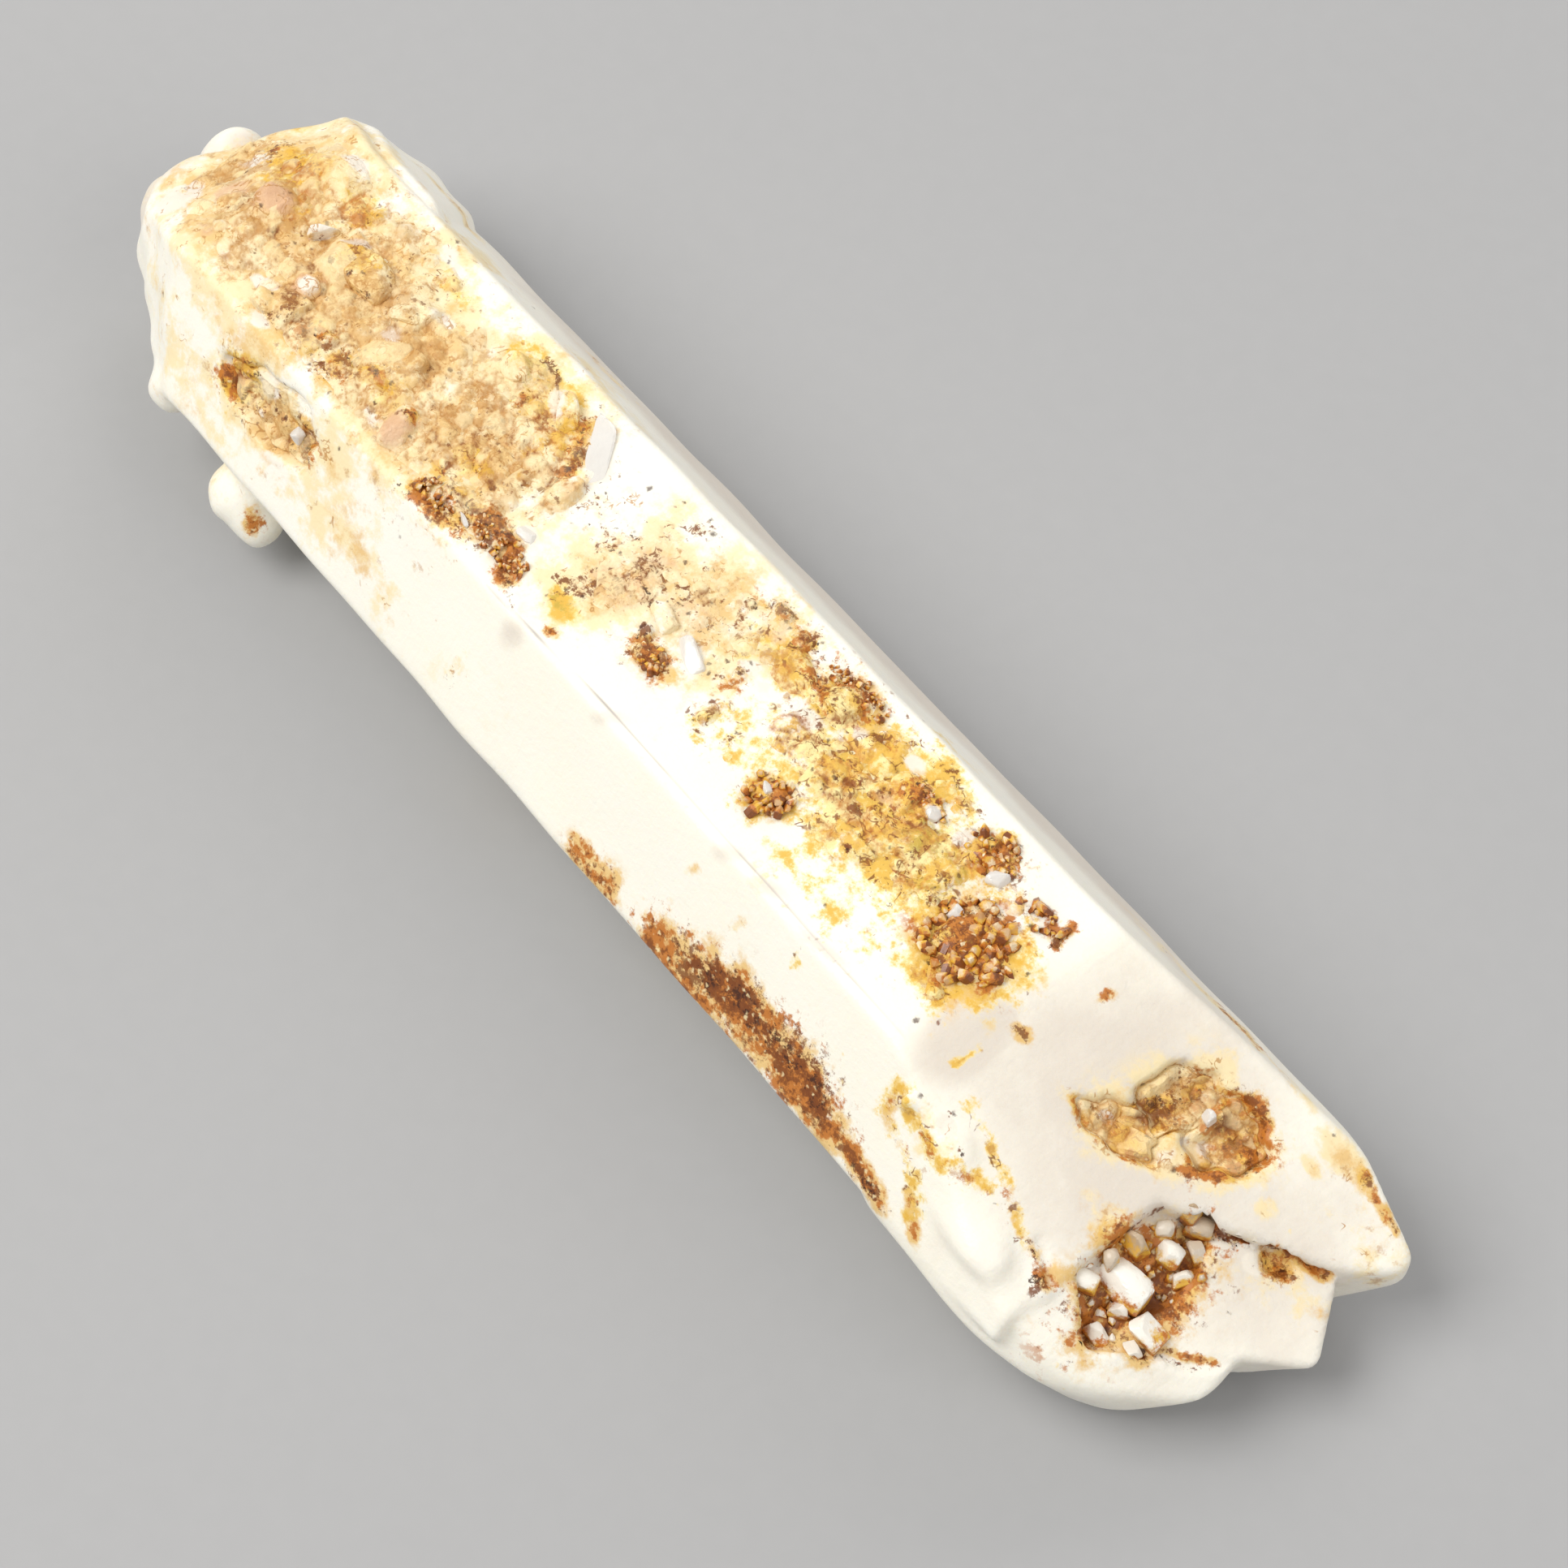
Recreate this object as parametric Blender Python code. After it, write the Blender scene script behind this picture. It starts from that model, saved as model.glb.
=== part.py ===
"""A double-terminated crystal of milky quartz, lying on one of its prism faces.

The crystal is 76 mm long. It runs along X, from its blunt, overgrown far tip at -X to its
near tip at +X, where three parallel tips end side by side round a cleft. The prism face that
points up carries a druse of small crystals. Every crystal is cut out of a block by its faces.
A face is set by where it looks and by one point that it passes through:

    around   degrees round the length: 0 looks up, 90 looks along -Y, 180 down, 270 along +Y
    lean     degrees that the face tips towards +X, or towards -X where it is negative
    through  a point of the face, in millimetres

All sizes below are in millimetres, and MM turns them into Blender's metres.
"""

import math
import random

import bmesh
import bpy
from mathutils import Vector

MM = 0.001

# Driving dimensions of the main crystal
THICKNESS = 11.5          # from the prism face it lies on to the one that looks up
HALF_LENGTH = 38.0
LEFT_SIDE = -7.85         # Y of the edge between the two prism faces on the -Y side
RIGHT_SIDE = 8.6          # Y of the edge between the two prism faces on the +Y side
MIDDLE = THICKNESS / 2.0
WIDENING = -0.6           # lean of the +Y prism faces, which part slightly towards +X
NEAR_SLOPE = 24.0         # lean of the large face of the near tip
NEAR_START = 20.3         # X where that face begins
NEAR_TURN = 4.0
FAR_SLOPE = -28.0         # lean of the upper face of the far tip
FAR_START = -29.5
CLEFT_WALL = 29.6         # X where the main crystal stops short, behind the cleft
UNDERCUT = 41.0           # lean of the faces under the tips

GAP = 0.32                # clear space round the crusts that sit in the hollows

TOP_PLANE = (0, 0, (0, 0, THICKNESS))
LEFT_UPPER = (60, 0, (0, LEFT_SIDE, MIDDLE))
LEFT_LOWER = (120, 0, (0, LEFT_SIDE, MIDDLE))
BOTTOM_PLANE = (180, 0, (0, 0, 0))
RIGHT_LOWER = (240, WIDENING, (0, RIGHT_SIDE, MIDDLE))
RIGHT_UPPER = (300, WIDENING, (0, RIGHT_SIDE, MIDDLE))
NEAR_TOP = (NEAR_TURN, NEAR_SLOPE, (NEAR_START, 1.2, THICKNESS))
FAR_TOP = (0, FAR_SLOPE, (FAR_START, 0, THICKNESS))

MAIN_CRYSTAL = [
    TOP_PLANE, LEFT_UPPER, LEFT_LOWER, BOTTOM_PLANE, RIGHT_LOWER, RIGHT_UPPER,
    NEAR_TOP,
    (0, 88, (CLEFT_WALL, 0, 5.0)),
    FAR_TOP,
    (72, -23.5, (-30.0, -6.7, 5.5)),
    (108, -25.0, (-30.0, -6.7, 5.0)),
    (75, -43.0, (-36.0, -3.2, 5.5)),
    (180, -44.0, (-34.0, 0, 0)),
    (285, -24.0, (-33.6, 7.2, 5.6)),
    (250, -27.0, (-33.4, 7.1, 5.0)),
    (316, -58.0, (-34.75, 5.0, 5.6)),
    (236, -58.0, (-34.75, 5.0, 5.2)),
    (0, -74.0, (-37.1, 0, 5.6)),
]

FAR_SHOULDER = [
    (0, -2.0, (-30.0, 0, 11.0)),
    (0, -32.0, (-28.8, 0, 11.0)),
    (300, 0, (0, 8.75, 5.7)),
    (240, 0, (0, 8.75, 5.7)),
    (290, 30.0, (-26.9, 8.7, 5.7)),
    (250, 30.0, (-26.9, 8.7, 5.7)),
    (290, -20.0, (-32.4, 7.75, 5.6)),
    (250, -22.0, (-32.4, 7.75, 5.2)),
    (316, -58.0, (-34.7, 5.0, 5.65)),
    (236, -58.0, (-34.7, 5.0, 5.15)),
    (90, 0, (0, 3.0, 0)),
    (180, -4.0, (-33.0, 0, 1.2)),
]

UPPER_TIP = [
    NEAR_TOP, RIGHT_UPPER, RIGHT_LOWER,
    (0, -90, (21.0, 0, 0)),
    (90, 36.6, (31.5, 2.0, 6.0)),
    (98, 52.0, (36.1, 5.9, 4.0)),
    (92, 76.0, (36.9, 6.9, 4.0)),
    (268, 66.0, (36.7, 7.8, 4.0)),
    (274, 15.0, (33.0, 8.75, 5.0)),
    (180, 5.0, (20.5, 0, 0)),
    (185, UNDERCUT, (33.4, 6.0, 0)),
]

MIDDLE_TIP = [
    (NEAR_TURN, 22.0, (31.1, 2.5, 5.75)),
    (0, -90, (24.0, 0, 0)),
    (270, 0, (0, 4.9, 0)),
    (90, 0, (0, -3.2, 0)),
    (252, 48.0, (37.25, 2.6, 3.2)),
    (104, 47.0, (37.2, 1.8, 3.2)),
    (180, 86.0, (37.8, 0, 3.0)),
    (180, 7.0, (23.5, 0, 0)),
    (180, UNDERCUT, (34.0, 0, 0)),
]

LOWER_TIP = [
    (NEAR_TURN, NEAR_SLOPE, (NEAR_START, 1.2, THICKNESS - 0.15)),
    (12, 34.0, (29.4, -5.0, 7.1)),
    (0, 0, (0, 0, 8.9)),
    (60, -2.6, (25.0, -8.1, 5.3)),
    (120, -2.6, (25.0, -8.1, 5.3)),
    (64, 5.0, (29.5, -8.0, 4.9)),
    (66, -32.0, (21.5, -6.9, 7.0)),
    (0, -90, (20.6, 0, 0)),
    (270, 0, (0, 0.5, 0)),
    (66, 15.0, (31.4, -7.2, 4.4)),
    (112, 13.0, (31.2, -7.2, 4.2)),
    (70, 33.0, (32.9, -6.1, 4.1)),
    (110, 33.0, (32.8, -6.1, 3.9)),
    (80, 50.5, (35.2, -3.3, 3.5)),
    (105, 50.5, (35.2, -3.3, 3.3)),
    (262, 76.0, (35.85, -1.8, 3.2)),
    (180, 5.0, (20.0, 0, 0)),
    (172, UNDERCUT, (32.0, -3.0, 0)),
]

# The hollows: a point on the crystal's skin, the face they are sunk in (around, lean), the way
# their long side runs (degrees from X, seen from outside), half length, half width and depth
TIP_PIT = {"at": (27.5, 3.2, 8.05), "face": (NEAR_TURN, NEAR_SLOPE), "turn": 58,
           "half_length": 3.6, "half_width": 1.75, "depth": 1.5, "seed": 3}
SHOULDER_PIT = {"at": (-21.6, -5.8, 9.3), "face": (60, 0), "turn": 4,
                "half_length": 3.5, "half_width": 1.75, "depth": 1.5, "seed": 8}
CLEFT = {"at": (31.2, -2.1, 6.3), "face": (6, 26), "turn": 75,
         "half_length": 3.3, "half_width": 2.2, "depth": 2.5, "seed": 5}
HOLLOW_SIDES = 10
HOLLOW_FLOOR = 0.66       # the floor's outline, as a share of the mouth's
HOLLOW_RISE = 1.2         # how far each cutter stands out of the skin

# Crystals that stand out of the druse: x, y, radius, height, lean (degrees), heading (degrees)
LARGE_DRUSE_CRYSTALS = [
    (-30.6, 0.2, 1.35, 1.0, 14, 200), (-26.4, 0.8, 0.95, 0.8, 35, 250),
    (-24.3, 0.6, 1.65, 1.1, 10, 20), (-24.2, -3.0, 1.25, 0.9, 18, 300),
    (-28.4, 3.6, 1.5, 1.0, 20, 120), (-32.2, -2.6, 1.3, 0.9, 22, 160),
    (-27.6, -2.3, 1.1, 0.7, 25, 80), (-20.9, 1.9, 1.2, 0.8, 20, 40),
    (-15.1, 3.4, 1.3, 0.9, 12, 90), (-16.1, -2.8, 1.15, 0.7, 35, 10),
    (-9.7, 3.2, 1.0, 1.1, 30, 320), (-9.0, 0.8, 1.15, 0.9, 16, 0),
    (-10.3, -2.5, 1.2, 0.8, 20, 210), (-1.0, -1.4, 1.0, 0.8, 24, 45),
    (0.6, 0.5, 1.0, 0.8, 30, 75), (7.4, -1.5, 0.9, 0.7, 15, 140),
    (14.0, 1.7, 1.0, 0.7, 22, 330), (17.3, 0.5, 1.2, 0.9, 12, 60),
    (18.6, 3.4, 0.9, 0.6, 28, 15), (-19.6, 4.6, 1.0, 0.7, 26, 110),
]
DRUSE_SEED = 41
DRUSE_TRIES = 1500
DRUSE_COUNT = 110
DRUSE_SPACING = 0.82      # least distance between two crystals, as a share of their radii
SMALL_RADIUS = (0.42, 0.95)
SINK = 0.7                # how deep the foot of a small crystal reaches into the face

# Blunt knobs on the rim of the far tip: centre, radius, the way they point
RIM_KNOBS = [
    ((-36.3, -0.3, 5.3), 1.8, (-1.0, -0.15, 0.1)),
    ((-36.5, 2.6, 5.4), 1.8, (-1.0, 0.05, 0.1)),
    ((-33.7, 6.0, 5.6), 1.35, (-0.8, 0.6, 0.1)),
]

# Rounded nodules under the -Y edge near the far tip: centre, radius, stretch along X
NODULES = [((-22.4, -7.2, 3.1), 1.8, 1.15), ((-28.5, -6.85, 4.4), 1.15, 1.1)]

# Low plates that thicken a face: centre on the face, face, turn, half length, half width, rise
LEDGES = [
    ((23.4, -5.5, 9.6), (60, 0), 62, 1.7, 0.95, 0.4),
    ((25.9, -7.1, 7.3), (60, 0), 55, 2.1, 1.1, 0.35),
    ((19.5, 7.7, 7.7), (300, WIDENING), 2, 6.5, 0.55, 0.3),
    ((5.5, 7.0, 8.6), (300, WIDENING), -2, 8.0, 0.6, 0.28),
    ((-6.0, 7.6, 3.9), (240, WIDENING), 3, 6.0, 1.0, 0.3),
    ((9.0, -6.9, 3.9), (120, 0), -3, 7.0, 1.0, 0.3),
]

MILKY_QUARTZ = (0.93, 0.91, 0.87, 1.0)
RUSTY_QUARTZ = (0.62, 0.36, 0.16, 1.0)
TAN_QUARTZ = (0.78, 0.60, 0.38, 1.0)


def clear_scene():
    """Remove whatever objects the open file holds."""
    for item in list(bpy.data.objects):
        bpy.data.objects.remove(item, do_unlink=True)


def quartz_material(name, color, roughness):
    """A plain Principled finish for one sub-part."""
    material = bpy.data.materials.new(name)
    material.use_nodes = True
    shader = material.node_tree.nodes["Principled BSDF"]
    shader.inputs["Base Color"].default_value = color
    shader.inputs["Roughness"].default_value = roughness
    shader.inputs["Metallic"].default_value = 0.0
    return material


def outward(around, lean):
    """The unit vector that a face looks along."""
    around = math.radians(around)
    lean = math.radians(lean)
    return Vector((math.sin(lean), -math.cos(lean) * math.sin(around), math.cos(lean) * math.cos(around)))


def height_on(face, x, y):
    """Z of a face above the point x, y."""
    around, lean, through = face
    normal = outward(around, lean)
    through = Vector(through)
    return through.z - (normal.x * (x - through.x) + normal.y * (y - through.y)) / normal.z


def crown_face(x, y):
    """The upward face that forms the crystal's skin above x, y."""
    return min((FAR_TOP, TOP_PLANE, NEAR_TOP), key=lambda face: height_on(face, x, y))


def add_object(name, shape, material):
    """Turn a bmesh in millimetres into an object in metres, in triangles, which are truly flat."""
    bmesh.ops.recalc_face_normals(shape, faces=shape.faces)
    bmesh.ops.triangulate(shape, faces=shape.faces)
    bmesh.ops.scale(shape, vec=(MM, MM, MM), verts=shape.verts)
    mesh = bpy.data.meshes.new(name)
    shape.to_mesh(mesh)
    shape.free()
    mesh.materials.append(material)
    item = bpy.data.objects.new(name, mesh)
    bpy.context.scene.collection.objects.link(item)
    return item


def combine(target, operand, operation, overlapping=False):
    """Union or difference, as a modifier on the target; the operand is only a tool.

    overlapping is for an operand whose own bodies run into one another.
    """
    operand.hide_render = True
    operand.display_type = "WIRE"
    modifier = target.modifiers.new(operand.name, "BOOLEAN")
    modifier.operation = operation
    modifier.object = operand
    modifier.solver = "EXACT"
    modifier.use_self = overlapping


def merge_flat_faces(item):
    """Join the triangles of each flat face again, which the unions have split."""
    modifier = item.modifiers.new("merge_flat_faces", "DECIMATE")
    modifier.decimate_type = "DISSOLVE"
    modifier.angle_limit = math.radians(0.2)


def cut_by_faces(faces):
    """A convex crystal: a block with everything outside each of its faces cut away."""
    shape = bmesh.new()
    bmesh.ops.create_cube(shape, size=4 * HALF_LENGTH)
    for around, lean, through in faces:
        everything = list(shape.verts) + list(shape.edges) + list(shape.faces)
        result = bmesh.ops.bisect_plane(
            shape, geom=everything, dist=1e-5, clear_outer=True,
            plane_co=Vector(through), plane_no=outward(around, lean))
        rim = [part for part in result["geom_cut"] if isinstance(part, bmesh.types.BMEdge)]
        if rim:
            bmesh.ops.contextual_create(shape, geom=rim)
    return shape


def frame_on(direction, turn):
    """Two unit vectors across a direction; the first is turned from X by the given angle."""
    direction = Vector(direction).normalized()
    along = Vector((1, 0, 0)) - direction * direction.x
    if along.length < 0.2:
        along = Vector((0, 1, 0)) - direction * direction.y
    along.normalize()
    across = direction.cross(along)
    turn = math.radians(turn)
    first = along * math.cos(turn) + across * math.sin(turn)
    return first, direction.cross(first), direction


def add_rings(shape, rings):
    """Close a stack of equally long rings of points into one solid."""
    loops = [[shape.verts.new(point) for point in ring] for ring in rings]
    count = len(loops[0])
    for low, high in zip(loops, loops[1:]):
        for i in range(count):
            j = (i + 1) % count
            shape.faces.new((low[i], low[j], high[j], high[i]))
    shape.faces.new(list(reversed(loops[0])))
    shape.faces.new(loops[-1])


def add_point_crystal(shape, foot, direction, turn, radius, shoulder, tip, sink):
    """A six-sided point: a prism from below the foot to its shoulder, then a blunt pyramid."""
    first, second, up = frame_on(direction, turn)
    rings = []
    for scale, rise in ((0.96, -sink), (1.0, 0.0), (0.9, shoulder), (0.2, tip)):
        ring = []
        for i in range(6):
            angle = math.radians(60 * i)
            reach = radius * scale * (1.0 if i % 2 else 0.88)
            ring.append(foot + first * reach * math.cos(angle) + second * reach * math.sin(angle) + up * rise)
        rings.append(ring)
    add_rings(shape, rings)


def hollow_outline(hollow, scale, inset, depth):
    """An uneven oval ring inside a hollow, at a depth below the crystal's skin."""
    first, second, up = frame_on(outward(*hollow["face"]), hollow["turn"])
    draw = random.Random(hollow["seed"])
    ring = []
    for i in range(HOLLOW_SIDES):
        angle = 2 * math.pi * i / HOLLOW_SIDES
        uneven = draw.uniform(0.88, 1.1) * scale
        long_reach = hollow["half_length"] * uneven - inset
        short_reach = hollow["half_width"] * uneven - inset
        ring.append(Vector(hollow["at"]) + first * long_reach * math.cos(angle)
                    + second * short_reach * math.sin(angle) - up * depth)
    return ring


def wall_scale(hollow, depth):
    """How much of its mouth a hollow still has at a depth."""
    return 1.0 + (HOLLOW_FLOOR - 1.0) * depth / hollow["depth"]


def hollow_cutter(name, hollow, material):
    """The space of a hollow, from outside the skin down to its floor."""
    shape = bmesh.new()
    depth = hollow["depth"]
    floor = hollow_outline(hollow, wall_scale(hollow, depth), 0.0, depth)
    mouth = hollow_outline(hollow, wall_scale(hollow, -HOLLOW_RISE), 0.0, -HOLLOW_RISE)
    add_rings(shape, [floor, mouth])
    return add_object(name, shape, material)


def crust(name, hollow, top_depth, crystals, material):
    """The crystals of a hollow: a bed that fills its floor, and points standing on the bed."""
    bed = bmesh.new()
    foot_depth = hollow["depth"] - GAP
    rings = []
    for depth in (foot_depth, top_depth):
        rings.append(hollow_outline(hollow, wall_scale(hollow, depth), GAP * 1.25, depth))
    add_rings(bed, rings)
    body = add_object(name, bed, material)

    first, second, up = frame_on(outward(*hollow["face"]), hollow["turn"])
    points = bmesh.new()
    draw = random.Random(hollow["seed"] + 100)
    for along, across, radius, height in crystals:
        foot = Vector(hollow["at"]) + first * along + second * across - up * top_depth
        tilt = first * draw.uniform(-0.3, 0.3) + second * draw.uniform(-0.3, 0.3)
        add_point_crystal(points, foot, up + tilt, draw.uniform(0, 60), radius,
                          height * 0.5, height, 0.3)
    combine(body, add_object(name + "_points", points, material), "UNION")
    return body


def in_druse(x, y):
    """True on the part of the upward face that the druse of small crystals covers."""
    left_border = -4.1 if x < -9 else -4.1 + 0.24 * (x + 9)
    right_border = 4.9 if x < 12 else 4.9 - 0.15 * (x - 12)
    bare_left = x > 6 and y < left_border + 0.4
    return -34.0 < x < 19.3 and left_border < y < right_border and not bare_left


def scatter_small_crystals():
    """Places for the small crystals of the druse, which may run into their neighbours."""
    draw = random.Random(DRUSE_SEED)
    taken = [(x, y, radius) for x, y, radius, *_ in LARGE_DRUSE_CRYSTALS]
    places = []
    for _ in range(DRUSE_TRIES):
        x = draw.uniform(-35, 20)
        y = draw.uniform(-4.2, 5.2)
        radius = draw.uniform(*SMALL_RADIUS)
        height = radius * draw.uniform(0.35, 0.8)
        lean = draw.uniform(0, 28)
        heading = draw.uniform(0, 360)
        if not in_druse(x, y):
            continue
        if any(math.hypot(x - a, y - b) < (radius + r) * DRUSE_SPACING for a, b, r in taken):
            continue
        taken.append((x, y, radius))
        places.append((x, y, radius, height, lean, heading))
        if len(places) == DRUSE_COUNT:
            break
    return places


def druse(material):
    """All the crystals that stand on the upward faces, as one mesh of separate points."""
    shape = bmesh.new()
    for x, y, radius, height, lean, heading in LARGE_DRUSE_CRYSTALS + scatter_small_crystals():
        face = crown_face(x, y)
        foot = Vector((x, y, height_on(face, x, y)))
        heading = math.radians(heading)
        sideways = Vector((math.cos(heading), math.sin(heading), 0)) * math.tan(math.radians(lean) * 0.6)
        direction = outward(face[0], face[1]) + sideways
        add_point_crystal(shape, foot, direction, math.degrees(heading), radius,
                          height * 0.45, height, SINK)
    return add_object("druse_points", shape, material)


def rim_knobs(material):
    """Blunt overgrowths on the rim of the far tip."""
    knobs = []
    for number, (centre, radius, direction) in enumerate(RIM_KNOBS):
        shape = bmesh.new()
        add_point_crystal(shape, Vector(centre), direction, 20 * number, radius,
                          radius * 0.45, radius * 0.95, radius * 0.8)
        knobs.append(add_object("rim_knob_%d" % number, shape, material))
    return knobs


def nodules(material):
    """Rounded knobs that bulge from under the -Y edge."""
    shape = bmesh.new()
    for centre, radius, stretch in NODULES:
        ball = bmesh.ops.create_icosphere(shape, subdivisions=2, radius=radius)
        bmesh.ops.scale(shape, vec=(stretch, 1.0, 0.95), verts=ball["verts"])
        bmesh.ops.translate(shape, vec=centre, verts=ball["verts"])
    return add_object("nodules", shape, material)


def ledges(material):
    """Low six-sided plates with bevelled rims, half sunk in the faces that they thicken."""
    shape = bmesh.new()
    for centre, face, turn, half_length, half_width, rise in LEDGES:
        first, second, up = frame_on(outward(*face), turn)
        rings = []
        for scale, height in ((1.0, -1.1), (1.0, 0.0), (0.8, rise)):
            ring = []
            for i in range(8):
                angle = math.radians(45 * i + 22.5)
                ring.append(Vector(centre) + first * half_length * scale * math.cos(angle)
                            + second * half_width * scale * math.sin(angle) + up * height)
            rings.append(ring)
        add_rings(shape, rings)
    return add_object("ledges", shape, material)


def quartz_crystal():
    """The whole crystal as one solid: tips, knobs, ledges and druse fused, hollows cut."""
    material = quartz_material("milky_quartz", MILKY_QUARTZ, 0.35)
    body = add_object("quartz_crystal", cut_by_faces(MAIN_CRYSTAL), material)
    for name, faces in (("far_shoulder", FAR_SHOULDER), ("upper_tip", UPPER_TIP),
                        ("middle_tip", MIDDLE_TIP), ("lower_tip", LOWER_TIP)):
        combine(body, add_object(name, cut_by_faces(faces), material), "UNION")
    for knob in rim_knobs(material):
        combine(body, knob, "UNION")
    combine(body, nodules(material), "UNION")
    combine(body, ledges(material), "UNION")
    combine(body, druse(material), "UNION", overlapping=True)
    for name, hollow in (("tip_pit", TIP_PIT), ("shoulder_pit", SHOULDER_PIT), ("cleft", CLEFT)):
        combine(body, hollow_cutter(name + "_space", hollow, material), "DIFFERENCE")
    merge_flat_faces(body)
    return body


def main():
    clear_scene()
    quartz_crystal()
    rusty = quartz_material("rusty_crystals", RUSTY_QUARTZ, 0.5)
    tan = quartz_material("tan_crystals", TAN_QUARTZ, 0.4)
    crust("cleft_crystals", CLEFT, 1.55, [
        (-1.5, 0.1, 0.55, 1.1), (-0.3, 0.55, 0.6, 1.3), (0.0, -0.7, 0.55, 0.9),
        (1.0, 0.25, 0.6, 1.2), (1.55, -0.5, 0.4, 0.8), (-1.1, -0.75, 0.35, 0.7)], rusty)
    crust("tip_pit_crystals", TIP_PIT, 0.85, [
        (-1.9, 0.0, 0.4, 0.6), (-0.8, 0.2, 0.5, 0.8), (0.5, -0.1, 0.5, 0.85),
        (1.7, 0.1, 0.45, 0.7)], tan)
    crust("shoulder_pit_crystals", SHOULDER_PIT, 0.85, [
        (-1.8, 0.1, 0.45, 0.7), (-0.6, -0.2, 0.5, 0.8), (0.6, 0.2, 0.45, 0.7),
        (1.7, -0.1, 0.4, 0.6)], tan)


main()
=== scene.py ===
"""A milky quartz crystal, terminated at both ends, with an iron-stained druse along its upper face."""

import math

import bpy
import numpy as np
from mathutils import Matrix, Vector


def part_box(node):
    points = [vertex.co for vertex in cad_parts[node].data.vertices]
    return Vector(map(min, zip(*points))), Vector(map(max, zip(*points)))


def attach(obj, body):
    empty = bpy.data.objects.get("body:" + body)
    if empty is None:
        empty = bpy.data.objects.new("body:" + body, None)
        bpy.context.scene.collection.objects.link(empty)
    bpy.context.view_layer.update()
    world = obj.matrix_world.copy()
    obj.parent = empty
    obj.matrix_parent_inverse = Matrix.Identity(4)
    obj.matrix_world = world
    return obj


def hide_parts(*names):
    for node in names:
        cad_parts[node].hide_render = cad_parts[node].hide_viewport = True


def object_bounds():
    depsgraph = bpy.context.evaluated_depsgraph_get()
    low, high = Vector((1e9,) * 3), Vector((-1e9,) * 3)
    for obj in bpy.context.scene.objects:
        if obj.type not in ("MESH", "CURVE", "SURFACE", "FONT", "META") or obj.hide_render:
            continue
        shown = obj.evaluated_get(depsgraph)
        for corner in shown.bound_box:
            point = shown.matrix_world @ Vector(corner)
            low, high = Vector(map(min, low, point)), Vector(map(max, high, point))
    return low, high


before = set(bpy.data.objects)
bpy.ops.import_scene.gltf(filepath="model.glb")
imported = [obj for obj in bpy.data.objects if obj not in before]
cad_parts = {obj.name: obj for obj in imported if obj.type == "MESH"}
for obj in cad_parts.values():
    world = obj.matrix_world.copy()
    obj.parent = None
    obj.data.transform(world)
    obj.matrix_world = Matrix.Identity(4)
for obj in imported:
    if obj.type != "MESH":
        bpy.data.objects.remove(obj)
CAD_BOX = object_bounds()

bl_info = {
    "name": "Double terminated quartz",
    "version": (1, 0, 0),
    "blender": (4, 5, 0),
    "location": "3D View > Sidebar > Quartz",
    "description": "Grows a milky quartz crystal with its druse, pits, cleft and studio stage",
    "category": "Add Mesh",
}

# Lengths below are in millimetres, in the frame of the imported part; a finished mesh is scaled to metres.
MM = 0.001

# ---------------------------------------------------------------------------------------------
# The crystal's own sizes. A face is its angle around the long axis, its lean towards the near end, and a
# point that it passes through.
# ---------------------------------------------------------------------------------------------
THICKNESS = 11.5
MIDDLE = THICKNESS / 2
LEFT_SIDE = -7.85
RIGHT_SIDE = 8.6
WIDENING = -0.6
NEAR_SLOPE = 24.0
NEAR_START = 20.3
NEAR_TURN = 4.0
FAR_SLOPE = -28.0
FAR_START = -29.5
CLEFT_WALL = 29.6
UNDERCUT = 41.0

TOP = (0, 0, (0, 0, THICKNESS))
LEFT_UPPER = (60, 0, (0, LEFT_SIDE, MIDDLE))
LEFT_LOWER = (120, 0, (0, LEFT_SIDE, MIDDLE))
BOTTOM = (180, 0, (0, 0, 0))
RIGHT_LOWER = (240, WIDENING, (0, RIGHT_SIDE, MIDDLE))
RIGHT_UPPER = (300, WIDENING, (0, RIGHT_SIDE, MIDDLE))
NEAR_TOP = (NEAR_TURN, NEAR_SLOPE, (NEAR_START, 1.2, THICKNESS))
FAR_TOP = (0, FAR_SLOPE, (FAR_START, 0, THICKNESS))

MAIN_CRYSTAL = [
    TOP, LEFT_UPPER, LEFT_LOWER, BOTTOM, RIGHT_LOWER, RIGHT_UPPER, NEAR_TOP,
    (0, 88, (CLEFT_WALL, 0, 5.0)),
    FAR_TOP,
    (72, -23.5, (-30.0, -6.7, 5.5)),
    (108, -25.0, (-30.0, -6.7, 5.0)),
    (75, -43.0, (-36.0, -3.2, 5.5)),
    (180, -44.0, (-34.0, 0, 0)),
    (285, -24.0, (-33.6, 7.2, 5.6)),
    (250, -27.0, (-33.4, 7.1, 5.0)),
    (316, -58.0, (-34.75, 5.0, 5.6)),
    (236, -58.0, (-34.75, 5.0, 5.2)),
    (0, -74.0, (-36.6, 0, 5.6)),
]
FAR_SHOULDER = [
    (0, -2.0, (-30.0, 0, 11.0)),
    (0, -32.0, (-28.8, 0, 11.0)),
    (300, 0, (0, 8.75, 5.7)),
    (240, 0, (0, 8.75, 5.7)),
    (290, 30.0, (-26.9, 8.7, 5.7)),
    (250, 30.0, (-26.9, 8.7, 5.7)),
    (290, -20.0, (-32.4, 7.75, 5.6)),
    (250, -22.0, (-32.4, 7.75, 5.2)),
    (316, -58.0, (-34.7, 5.0, 5.65)),
    (236, -58.0, (-34.7, 5.0, 5.15)),
    (90, 0, (0, 3.0, 0)),
    (180, -4.0, (-33.0, 0, 1.2)),
]
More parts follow.
